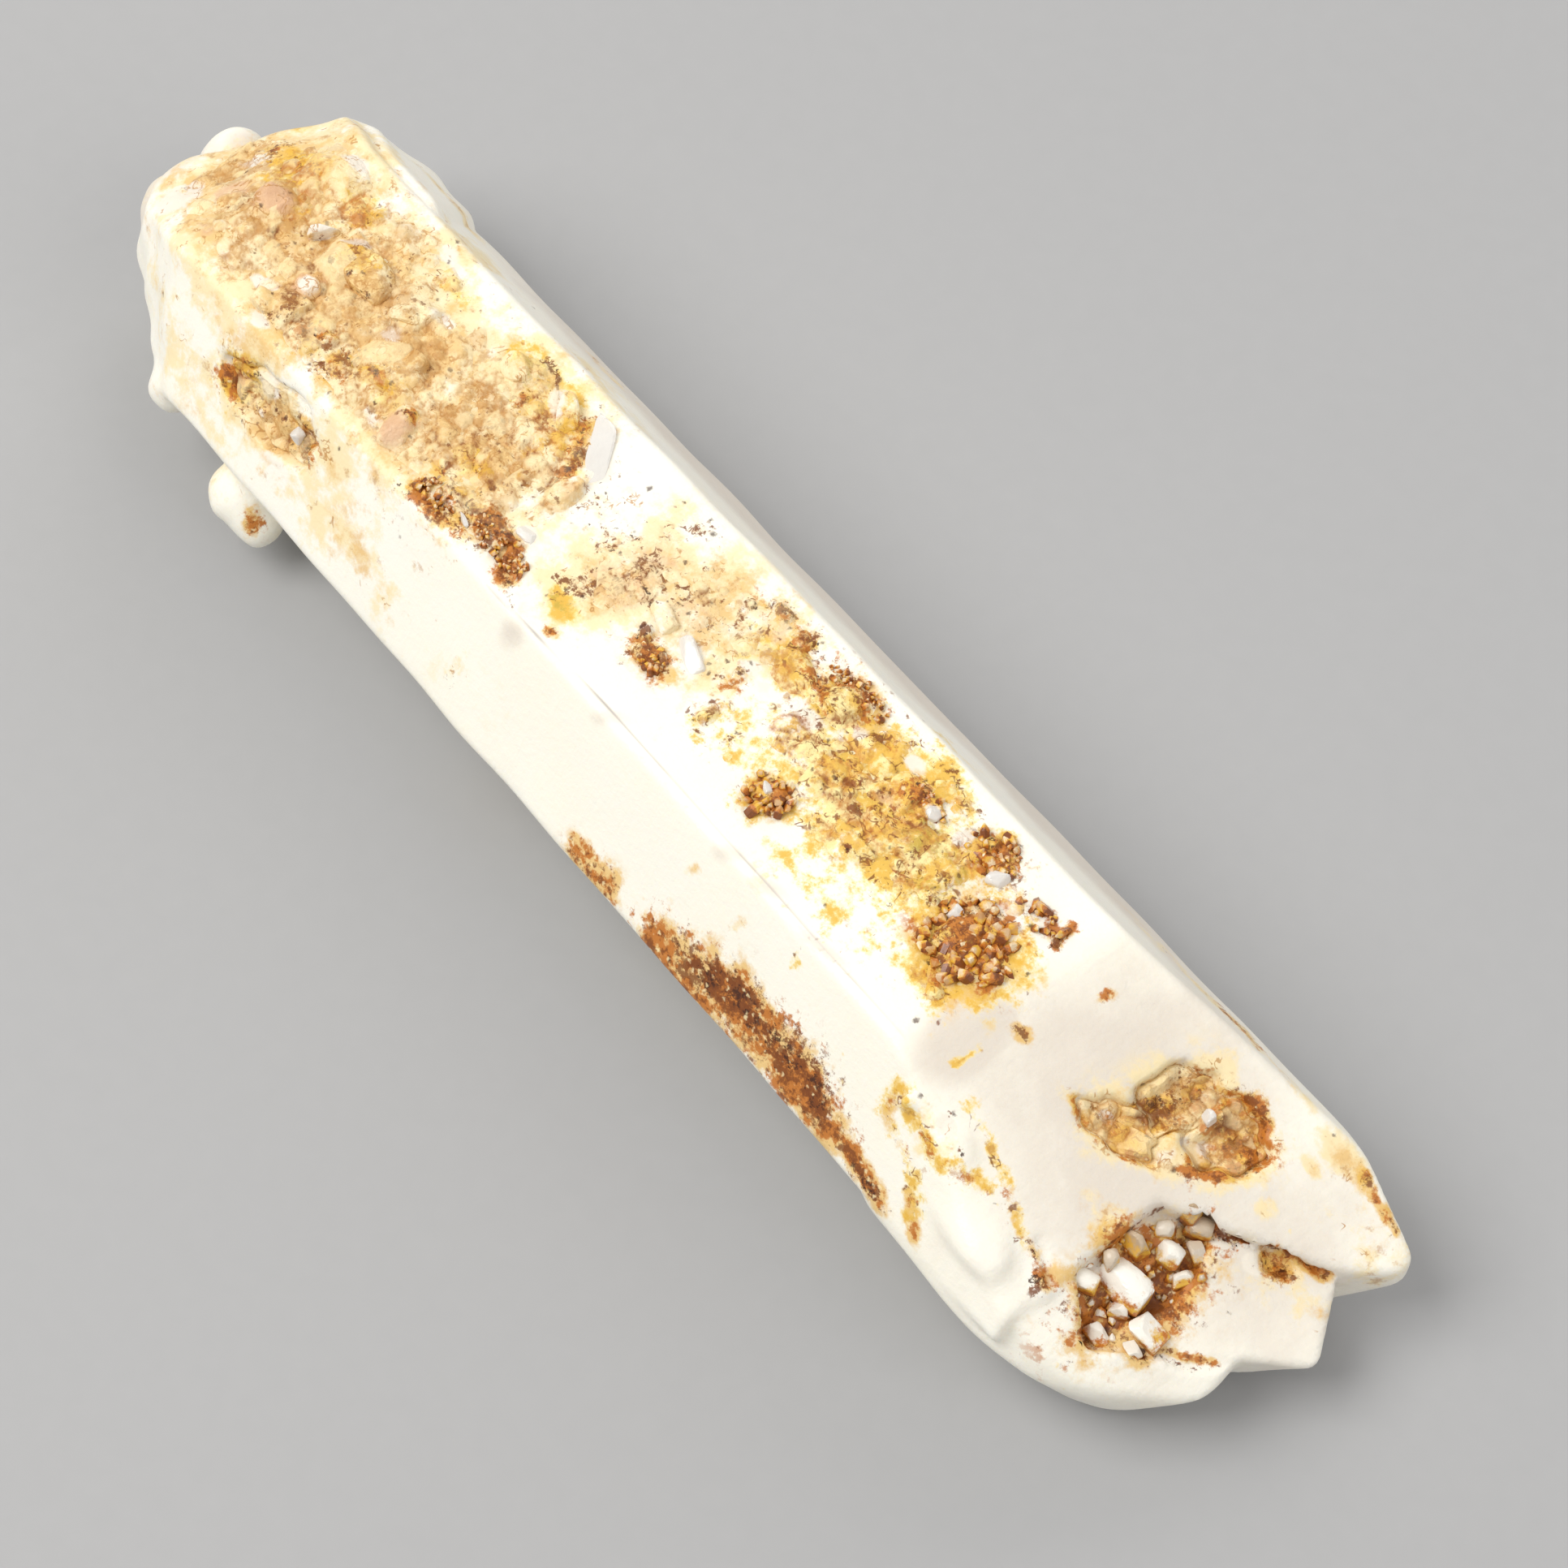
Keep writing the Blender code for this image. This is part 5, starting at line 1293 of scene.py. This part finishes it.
def relief_group():
    """Fine unevenness of a grown face: a broad swell, growth lines across the prism, and grain."""
    name = "Growth relief"
    if name in bpy.data.node_groups:
        return bpy.data.node_groups[name]
    tree, start, end = group_tree(name, ("Swell", "Lines", "Grain"), "Height")
    place = add_node(tree, "ShaderNodeTexCoord")
    swell = add_node(tree, "ShaderNodeTexNoise", {
        "Vector": place.outputs["Object"], "Scale": 420.0, "Detail": 3.0,
    })
    narrow = add_node(tree, "ShaderNodeMapping", {
        "Vector": place.outputs["Object"], "Scale": (2600.0, 260.0, 260.0),
    })
    lines = add_node(tree, "ShaderNodeTexNoise", {
        "Vector": narrow.outputs["Vector"], "Scale": 1.0, "Detail": 3.0,
    })
    grain = add_node(tree, "ShaderNodeTexNoise", {
        "Vector": place.outputs["Object"], "Scale": 3600.0, "Detail": 4.0, "Roughness": 0.6,
    })
    first = add_node(tree, "ShaderNodeMath", {
        0: swell.outputs["Fac"], 1: start.outputs["Swell"],
    }, operation="MULTIPLY")
    second = add_node(tree, "ShaderNodeMath", {
        0: lines.outputs["Fac"], 1: start.outputs["Lines"], 2: first.outputs[0],
    }, operation="MULTIPLY_ADD")
    third = add_node(tree, "ShaderNodeMath", {
        0: grain.outputs["Fac"], 1: start.outputs["Grain"], 2: second.outputs[0],
    }, operation="MULTIPLY_ADD")
    tree.links.new(third.outputs[0], end.inputs["Height"])
    return tree


def ragged(tree, strength, scale, clumps, raggedness, threshold, softness):
    """A ragged mask from a strength."""
    made = add_node(tree, "ShaderNodeGroup", {
        "Strength": strength, "Scale": scale, "Clumps": clumps, "Raggedness": raggedness,
        "Threshold": threshold, "Softness": softness,
    }, node_tree=ragged_stain_group())
    return made.outputs["Mask"]


def point_value(tree, name):
    """The value of a point attribute."""
    return add_node(tree, "ShaderNodeAttribute", attribute_name=name).outputs["Fac"]


def painted(tree, mask, under, over):
    """One colour laid over another where the mask is 1."""
    mix = add_node(tree, "ShaderNodeMix", data_type="RGBA")
    for socket, value in zip((mix.inputs[0], mix.inputs[6], mix.inputs[7]), (mask, under, over)):
        if isinstance(value, bpy.types.NodeSocket):
            tree.links.new(value, socket)
        else:
            socket.default_value = value
    return mix.outputs[2]


def solid(value):
    """A colour with its opacity."""
    return (*value, 1.0)


def new_material(name, **values):
    """A material with one Principled shader, whose plain values are set on its own sockets."""
    material = bpy.data.materials.new(name)
    material.use_nodes = True
    shader = material.node_tree.nodes["Principled BSDF"]
    for label, value in values.items():
        shader.inputs[label.replace("_", " ").title().replace("Ior", "IOR")].default_value = value
    return material, material.node_tree, shader


def add_relief(tree, shader, swell, lines, grain, distance):
    """Sends the growth relief to a shader's normal through a bump."""
    relief = add_node(tree, "ShaderNodeGroup", node_tree=relief_group())
    for label, value in zip(("Swell", "Lines", "Grain"), (swell, lines, grain)):
        relief.inputs[label].default_value = value
    bump = add_node(tree, "ShaderNodeBump", {
        "Height": relief.outputs["Height"], "Distance": distance, "Strength": 1.0,
    })
    tree.links.new(bump.outputs["Normal"], shader.inputs["Normal"])


def stained_quartz(tree, colours, grain):
    """Colour of stained quartz: cream, with a cool grey painted shade and each stain laid over it in turn,
    the thin wash first and the darkest grains last, and a painted shade line along the ridge over all. The
    grain scales how finely the stains break up."""
    place = add_node(tree, "ShaderNodeTexCoord").outputs["Object"]
    cloud = add_node(tree, "ShaderNodeTexNoise", {"Vector": place, "Scale": 190.0, "Detail": 4.0})
    warm = tuple(a * b for a, b in zip(colours.cream, (1.0, 0.975, 0.90)))
    base = painted(tree, cloud.outputs["Fac"], solid(colours.cream), solid(warm))
    stains = {kind: point_value(tree, kind) for kind in BLOTS}
    layers = [
        # Painted shade: a cool grey over the faces turned from the key light.
        ("lilac_shade", 500.0, 0.6, 0.5, 0.45, 0.35, 1.0, colours.lilac_shade),
        ("tan", 900.0, 1.6, 1.8, 0.34, 0.24, 0.85, colours.straw),
        ("yellow", 1100.0, 1.8, 2.4, 0.46, 0.22, 0.85, colours.lemon),
        ("tan", 1000.0 * grain, 1.8, 2.6, 0.74, 0.38, 0.80, colours.tan),
        ("tan", 1500.0 * grain, 2.2, 3.8, 1.10, 0.34, 0.60, colours.brown),
        ("yellow", 1100.0 * grain, 1.8, 3.6, 0.70, 0.30, 0.88, colours.gold),
        ("olive", 1300.0 * grain, 1.0, 3.0, 0.65, 0.30, 0.75, colours.olive),
        ("yellow", 1700.0 * grain, 1.8, 4.2, 1.10, 0.30, 0.60, colours.brown),
        ("pink", 900.0, 0.8, 1.2, 0.55, 0.25, 0.80, colours.pink),
        ("pale", 1200.0, 0.6, 1.0, 0.50, 0.14, 0.90, colours.pale),
        ("orange", 1000.0 * grain, 1.6, 2.2, 0.42, 0.30, 0.75, colours.gold),
        ("orange", 1500.0 * grain, 1.8, 3.8, 0.68, 0.26, 0.95, colours.orange),
        ("orange", 2600.0 * grain, 1.4, 4.6, 1.02, 0.28, 0.85, colours.rust),
        ("rust", 1900.0 * grain, 2.0, 5.0, 0.94, 0.24, 0.90, colours.rust),
        ("rust", 2700.0 * grain, 2.0, 5.2, 1.32, 0.20, 0.90, colours.dark),
    ]
    for kind, scale, clumps, raggedness, threshold, softness, opacity, over in layers:
        mask = ragged(tree, stains[kind], scale, clumps, raggedness, threshold, softness)
        base = painted(tree, times(tree, mask, opacity), base, solid(over))
    for kind, scale, width, opacity, over in (
        ("tan", 1500.0, 0.030, 0.72, colours.brown), ("yellow", 1300.0, 0.036, 0.80, colours.rust),
        ("rust", 1900.0, 0.045, 0.85, colours.rust),
    ):
        lines = add_node(tree, "ShaderNodeGroup", {
            "Strength": stains[kind], "Scale": scale * grain, "Width": width,
        }, node_tree=broken_lines_group())
        base = painted(tree, times(tree, lines.outputs["Mask"], opacity), base, solid(over))
    for kind, density, scale, over in (
        ("orange", 0.30, 3200.0, colours.straw), ("rust", 0.20, 2900.0, colours.dark),
        ("tan", 0.02, 2300.0, colours.dark), ("yellow", 0.05, 2600.0, colours.dark),
    ):
        specks = add_node(tree, "ShaderNodeGroup", {
            "Density": times(tree, stains[kind], density), "Scale": scale, "Size": 0.42,
        }, node_tree=speck_group())
        base = painted(tree, times(tree, specks.outputs["Mask"], 0.75), base, solid(over))
    # Painted shade: a thin grey line along the left ridge, broken into fainter and darker stretches by noise.
    ridge = add_node(tree, "ShaderNodeMapRange", {
        "Value": point_value(tree, "ridge"), "From Min": 0.11, "From Max": 0.03,
    })
    faint = add_node(tree, "ShaderNodeTexNoise", {"Vector": place, "Scale": 300.0, "Detail": 3.0})
    patchy_ridge_shade = add_node(tree, "ShaderNodeMapRange", {
        "Value": faint.outputs["Fac"], "From Min": 0.38, "From Max": 0.58, "To Min": 0.25, "To Max": 0.85,
    })
    line = times(tree, ridge.outputs["Result"], patchy_ridge_shade.outputs["Result"])
    return painted(tree, line, base, solid(colours.seam))


def milky_quartz():
    """Satin milky quartz of the grown faces, with its iron stains, a painted grey shade on the faces turned
    from the key light, and a painted shade line along the ridge.
    """
    name = "stained_milky_quartz"
    if name in bpy.data.materials:
        return bpy.data.materials[name]
    colours = bpy.context.scene.quartz_colours
    material, tree, shader = new_material(
        name, roughness=0.42, ior=1.54, subsurface_weight=0.25, specular_ior_level=0.3
    )
    shader.inputs["Subsurface Radius"].default_value = (1.0, 0.85, 0.65)
    shader.inputs["Subsurface Scale"].default_value = 0.0012
    tree.links.new(stained_quartz(tree, colours, 1.0), shader.inputs["Base Color"])
    add_relief(tree, shader, 0.5, 0.25, 0.35, 0.00010)
    return material


def druse_quartz():
    """Rough quartz of the druse: the stained colour again, darker and redder down in the seams between its
    crystals, where brown, orange and rust stand both for iron oxide and for painted shade.
    """
    name = "stained_druse_quartz"
    if name in bpy.data.materials:
        return bpy.data.materials[name]
    colours = bpy.context.scene.quartz_colours
    material, tree, shader = new_material(
        name, roughness=0.45, ior=1.54, specular_ior_level=0.3
    )
    base = stained_quartz(tree, colours, 1.15)
    seam = point_value(tree, "seam")
    tone = point_value(tree, "tone")
    stained = ragged(tree, point_value(tree, "tan"), 900.0, 1.0, 1.0, 0.5, 0.3)
    for first, last, opacity, over in ((0.5, 0.2, 0.55, colours.straw), (0.72, 0.95, 0.36, colours.brown)):
        chosen = add_node(tree, "ShaderNodeMapRange", {"Value": tone, "From Min": first, "From Max": last})
        mask = times(tree, times(tree, chosen.outputs["Result"], stained), opacity)
        base = painted(tree, mask, base, solid(over))
    # Iron oxide and painted shade: brown, orange and rust laid down in the seams between the crystals, where
    # the stains are.
    for kind, threshold, opacity, over in (
        ("tan", 0.7, 0.82, colours.brown), ("yellow", 0.7, 0.75, colours.orange),
        ("rust", 0.6, 0.9, colours.rust),
    ):
        edge = times(tree, seam, ragged(tree, point_value(tree, kind), 1500.0, 1.5, 3.0, threshold, 0.25))
        base = painted(tree, times(tree, edge, opacity), base, solid(over))
    tree.links.new(base, shader.inputs["Base Color"])
    add_relief(tree, shader, 0.3, 0.0, 0.8, 0.00012)
    return material


def grown_crystals(name, pale_colour, deep_colour, colours, roughness):
    """Small crystals whose feet are stained: each has its own tone, and the stain fades towards the tip
    through gold, orange and rust."""
    material, tree, shader = new_material(name, roughness=roughness, ior=1.54)
    base = painted(tree, point_value(tree, "tone"), solid(pale_colour), solid(deep_colour))
    share = point_value(tree, "share")
    down = add_node(tree, "ShaderNodeMath", {0: 1.0, 1: share}, operation="SUBTRACT").outputs[0]
    for scale, raggedness, threshold, softness, over in (
        (1500.0, 1.4, 0.34, 0.16, colours.gold), (2400.0, 1.8, 0.46, 0.16, colours.orange),
        (3600.0, 1.6, 0.80, 0.14, colours.rust),
    ):
        mask = ragged(tree, down, scale, 0.5, raggedness, threshold, softness)
        base = painted(tree, mask, base, solid(over))
    tree.links.new(base, shader.inputs["Base Color"])
    add_relief(tree, shader, 0.3, 0.0, 0.6, 0.00006)
    return material


def clear_quartz():
    """Water-clear quartz of the few glassy crystals."""
    name = "water_clear_quartz"
    if name in bpy.data.materials:
        return bpy.data.materials[name]
    material, tree, shader = new_material(name, roughness=0.12, ior=1.54, transmission_weight=0.27)
    place = add_node(tree, "ShaderNodeTexCoord").outputs["Object"]
    veil = add_node(tree, "ShaderNodeTexNoise", {"Vector": place, "Scale": 700.0, "Detail": 3.0})
    base = painted(tree, veil.outputs["Fac"], (0.99, 0.97, 0.93, 1.0), (0.92, 0.88, 0.82, 1.0))
    tree.links.new(base, shader.inputs["Base Color"])
    add_relief(tree, shader, 1.0, 0.0, 0.2, 0.00016)
    return material


def floor_paper():
    """Matt pale paper with a faint tooth."""
    material, tree, shader = new_material("floor_paper", roughness=0.85)
    colours = bpy.context.scene.quartz_colours
    place = add_node(tree, "ShaderNodeTexCoord").outputs["Object"]
    tooth = add_node(tree, "ShaderNodeTexNoise", {"Vector": place, "Scale": 900.0, "Detail": 3.0})
    shade = tuple(0.96 * value for value in colours.floor)
    base = painted(tree, tooth.outputs["Fac"], solid(colours.floor), solid(shade))
    tree.links.new(base, shader.inputs["Base Color"])
    return material


# ---------------------------------------------------------------------------------------------
# Operators, one for each group of pieces
# ---------------------------------------------------------------------------------------------
# Tones of the small crystals, from the palest to the deepest.
GOLDEN_PALE = (0.90, 0.76, 0.52)
GOLDEN_DEEP = (0.55, 0.25, 0.06)
CLEFT_DEEP = (0.46, 0.33, 0.20)


def need(count, what):
    """Stops the script if a step made nothing."""
    if count == 0:
        raise RuntimeError("no " + what + " was made")


class QUARTZ_OT_grow_body(bpy.types.Operator):
    """Grow the skin of the crystal: the prism, both ends, the tips, the pits and the cleft"""

    bl_idname = "quartz.grow_body"
    bl_label = "Grow the body"

    def execute(self, context):
        sizes = context.scene.quartz_sizes
        rounding = sizes.edge_rounding / MM
        step = sizes.skin_step / MM
        low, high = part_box("quartz_crystal")
        low = np.array(low) / MM - 0.6
        high = np.array(high) / MM + 0.6

        def distance(points):
            return skin_distance(points, rounding)

        points, faces = skin_mesh(distance, low, high, (1.2 * step, 0.93 * step, 0.93 * step))
        need(len(faces), "skin")
        values = stain_attributes(points)
        body = mesh_piece("quartz_body", points, faces, milky_quartz(), values)
        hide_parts("quartz_crystal")
        return {"FINISHED"}


class QUARTZ_OT_grow_druse(bpy.types.Operator):
    """Grow the rough field of small crystals along the upper face"""

    bl_idname = "quartz.grow_druse"
    bl_label = "Grow the druse"

    def execute(self, context):
        sizes = context.scene.quartz_sizes
        points, faces, values = druse_mesh(sizes.druse_step / MM, sizes.druse_height / MM)
        need(len(faces), "druse")
        values.update(stain_attributes(points))
        mesh_piece("druse_field", points, faces, druse_quartz(), values)
        unit = sizes.patch_crystal / MM
        patches = [patch_crystals(patch, unit, 60 + number) for number, patch in enumerate(RUSTY_PATCHES)]
        points, faces, share, tone = joined(patches)
        need(len(faces), "rusty crystals")
        colours = context.scene.quartz_colours
        golden = grown_crystals("golden_crystals_in_rust", GOLDEN_PALE, GOLDEN_DEEP, colours, 0.3)
        values = {"share": share, "tone": tone}
        mesh_piece("rusty_druse_crystals", points, faces, golden, values, smooth=False)
        return {"FINISHED"}


class QUARTZ_OT_grow_hollows(bpy.types.Operator):
    """Grow the crusts of crystals in the cleft and in the two pits"""

    bl_idname = "quartz.grow_hollows"
    bl_label = "Grow the crusts"

    def execute(self, context):
        sizes = context.scene.quartz_sizes
        colours = context.scene.quartz_colours
        rounding = sizes.edge_rounding / MM
        rusty = grown_crystals("white_crystals_in_rust", colours.cream, CLEFT_DEEP, colours, 0.3)
        cleft = [block_mesh(stone) for stone in CLEFT_BLOCKS]
        cleft.append(hollow_crystals(CLEFT, sizes.cleft_crystal / MM, 80, 5, rounding))
        pit = sizes.pit_crystal / MM
        points, faces, share, tone = joined(cleft)
        need(len(faces), "cleft crust")
        values = {"share": share, "tone": tone}
        piece = mesh_piece("cleft_crust", points, faces, rusty, values, smooth=False)
        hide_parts("cleft_crystals")
        for name, hollows, node in (
            ("tip_pit_crust", TIP_PITS, "tip_pit_crystals"),
            ("shoulder_pit_crust", SHOULDER_PITS, "shoulder_pit_crystals"),
        ):
            crusts = [crust_mesh(hollow, pit, pit, seed) for seed, hollow in enumerate(hollows)]
            points, faces, seam, tone = joined(crusts)
            need(len(faces), name)
            values = {"seam": seam, "tone": tone, **stain_attributes(points)}
            piece = mesh_piece(name, points, faces, druse_quartz(), values)
            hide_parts(node)
        return {"FINISHED"}


class QUARTZ_OT_set_stones(bpy.types.Operator):
    """Set the single clear and tan crystals in the druse and the pits"""

    bl_idname = "quartz.set_stones"
    bl_label = "Set the single crystals"

    def execute(self, context):
        points, faces = joined([stone_mesh(stone) for stone in STONES["clear"]])
        mesh_piece("clear_stones", points, faces, clear_quartz(), smooth=False)
        points, faces = joined([stone_mesh(stone) for stone in STONES["tan"]])
        attributes = stain_attributes(points)
        attributes["seam"] = np.zeros(len(points))
        attributes["tone"] = np.full(len(points), 0.5)
        mesh_piece("tan_stones", points, faces, druse_quartz(), attributes, smooth=False)
        return {"FINISHED"}


class QUARTZ_OT_set_stage(bpy.types.Operator):
    """Set the floor, the lights and the camera"""

    bl_idname = "quartz.set_stage"
    bl_label = "Set the stage"

    def execute(self, context):
        half = context.scene.quartz_sizes.floor_width / 2
        mesh = bpy.data.meshes.new("studio_floor")
        corners = [(-half, -half, 0), (half, -half, 0), (half, half, 0), (-half, half, 0)]
        mesh.from_pydata(corners, [], [(0, 1, 2, 3)])
        mesh.materials.append(floor_paper())
        floor = bpy.data.objects.new("studio_floor", mesh)
        context.scene.collection.objects.link(floor)
        add_light("key_light", (-0.18, -0.24, 0.42), 0.34, 2.1, (1.0, 0.985, 0.95))
        add_light("fill_light", (0.38, 0.10, 0.34), 0.34, 0.62, (1.0, 0.98, 0.95))
        add_light("back_light", (-0.25, 0.42, 0.30), 0.34, 0.78, (1.0, 0.98, 0.95))
        world = bpy.data.worlds.new("studio_light")
        world.use_nodes = True
        background = world.node_tree.nodes["Background"]
        background.inputs["Color"].default_value = (1.0, 1.0, 1.0, 1.0)
        background.inputs["Strength"].default_value = 0.50
        context.scene.world = world
        context.scene.view_settings.view_transform = "Standard"
        add_camera()
        return {"FINISHED"}


def add_light(name, place, size, power, tint):
    """A square soft light that faces the crystal."""
    lamp = bpy.data.lights.new(name, "AREA")
    lamp.size = size
    lamp.energy = power
    lamp.color = tint
    light = bpy.data.objects.new(name, lamp)
    light.location = place
    light.rotation_euler = (-Vector(place)).to_track_quat("-Z", "Y").to_euler()
    bpy.context.scene.collection.objects.link(light)


# The camera: degrees about the vertical and above the floor, the point it aims at and its distance from it in
# millimetres, and its lens.
CAMERA_TURN = 38.359
CAMERA_HEIGHT = 60.0
CAMERA_AIM = (5.07, 1.19, 6.0)
CAMERA_REACH = 174.8
CAMERA_LENS = 96.28


def add_camera():
    """A camera that looks down along the crystal from its near end."""
    turn = math.radians(CAMERA_TURN)
    height = math.radians(CAMERA_HEIGHT)
    level = math.cos(height)
    back = Vector((level * math.cos(turn), -level * math.sin(turn), math.sin(height)))
    camera = bpy.data.objects.new("camera", bpy.data.cameras.new("camera"))
    camera.data.lens = CAMERA_LENS
    camera.data.sensor_width = 36.0
    camera.data.clip_start = 0.01
    camera.data.clip_end = 10.0
    camera.location = (Vector(CAMERA_AIM) + back * CAMERA_REACH) * MM
    camera.rotation_euler = (-back).to_track_quat("-Z", "Y").to_euler()
    bpy.context.scene.collection.objects.link(camera)
    bpy.context.scene.camera = camera


class QUARTZ_PT_panel(bpy.types.Panel):
    """Lists the sizes, the colours and the steps"""

    bl_idname = "QUARTZ_PT_panel"
    bl_label = "Double terminated quartz"
    bl_space_type = "VIEW_3D"
    bl_region_type = "UI"
    bl_category = "Quartz"

    def draw(self, context):
        for group in (context.scene.quartz_sizes, context.scene.quartz_colours):
            box = self.layout.box()
            for name in group.bl_rna.properties.keys():
                if name not in ("rna_type", "name"):
                    box.prop(group, name)
        for step in STEPS:
            self.layout.operator(step.bl_idname)


STEPS = (
    QUARTZ_OT_set_stage,
    QUARTZ_OT_grow_body,
    QUARTZ_OT_grow_druse,
    QUARTZ_OT_grow_hollows,
    QUARTZ_OT_set_stones,
)
CLASSES = (QuartzSizes, QuartzColours, *STEPS, QUARTZ_PT_panel)


def register():
    for made in CLASSES:
        bpy.utils.register_class(made)
    bpy.types.Scene.quartz_sizes = bpy.props.PointerProperty(type=QuartzSizes)
    bpy.types.Scene.quartz_colours = bpy.props.PointerProperty(type=QuartzColours)


def unregister():
    del bpy.types.Scene.quartz_colours
    del bpy.types.Scene.quartz_sizes
    for made in reversed(CLASSES):
        bpy.utils.unregister_class(made)


def main():
    register()
    bpy.ops.quartz.set_stage()
    bpy.ops.quartz.grow_body()
    bpy.ops.quartz.grow_druse()
    bpy.ops.quartz.grow_hollows()
    bpy.ops.quartz.set_stones()


if __name__ == "__main__":
    main()
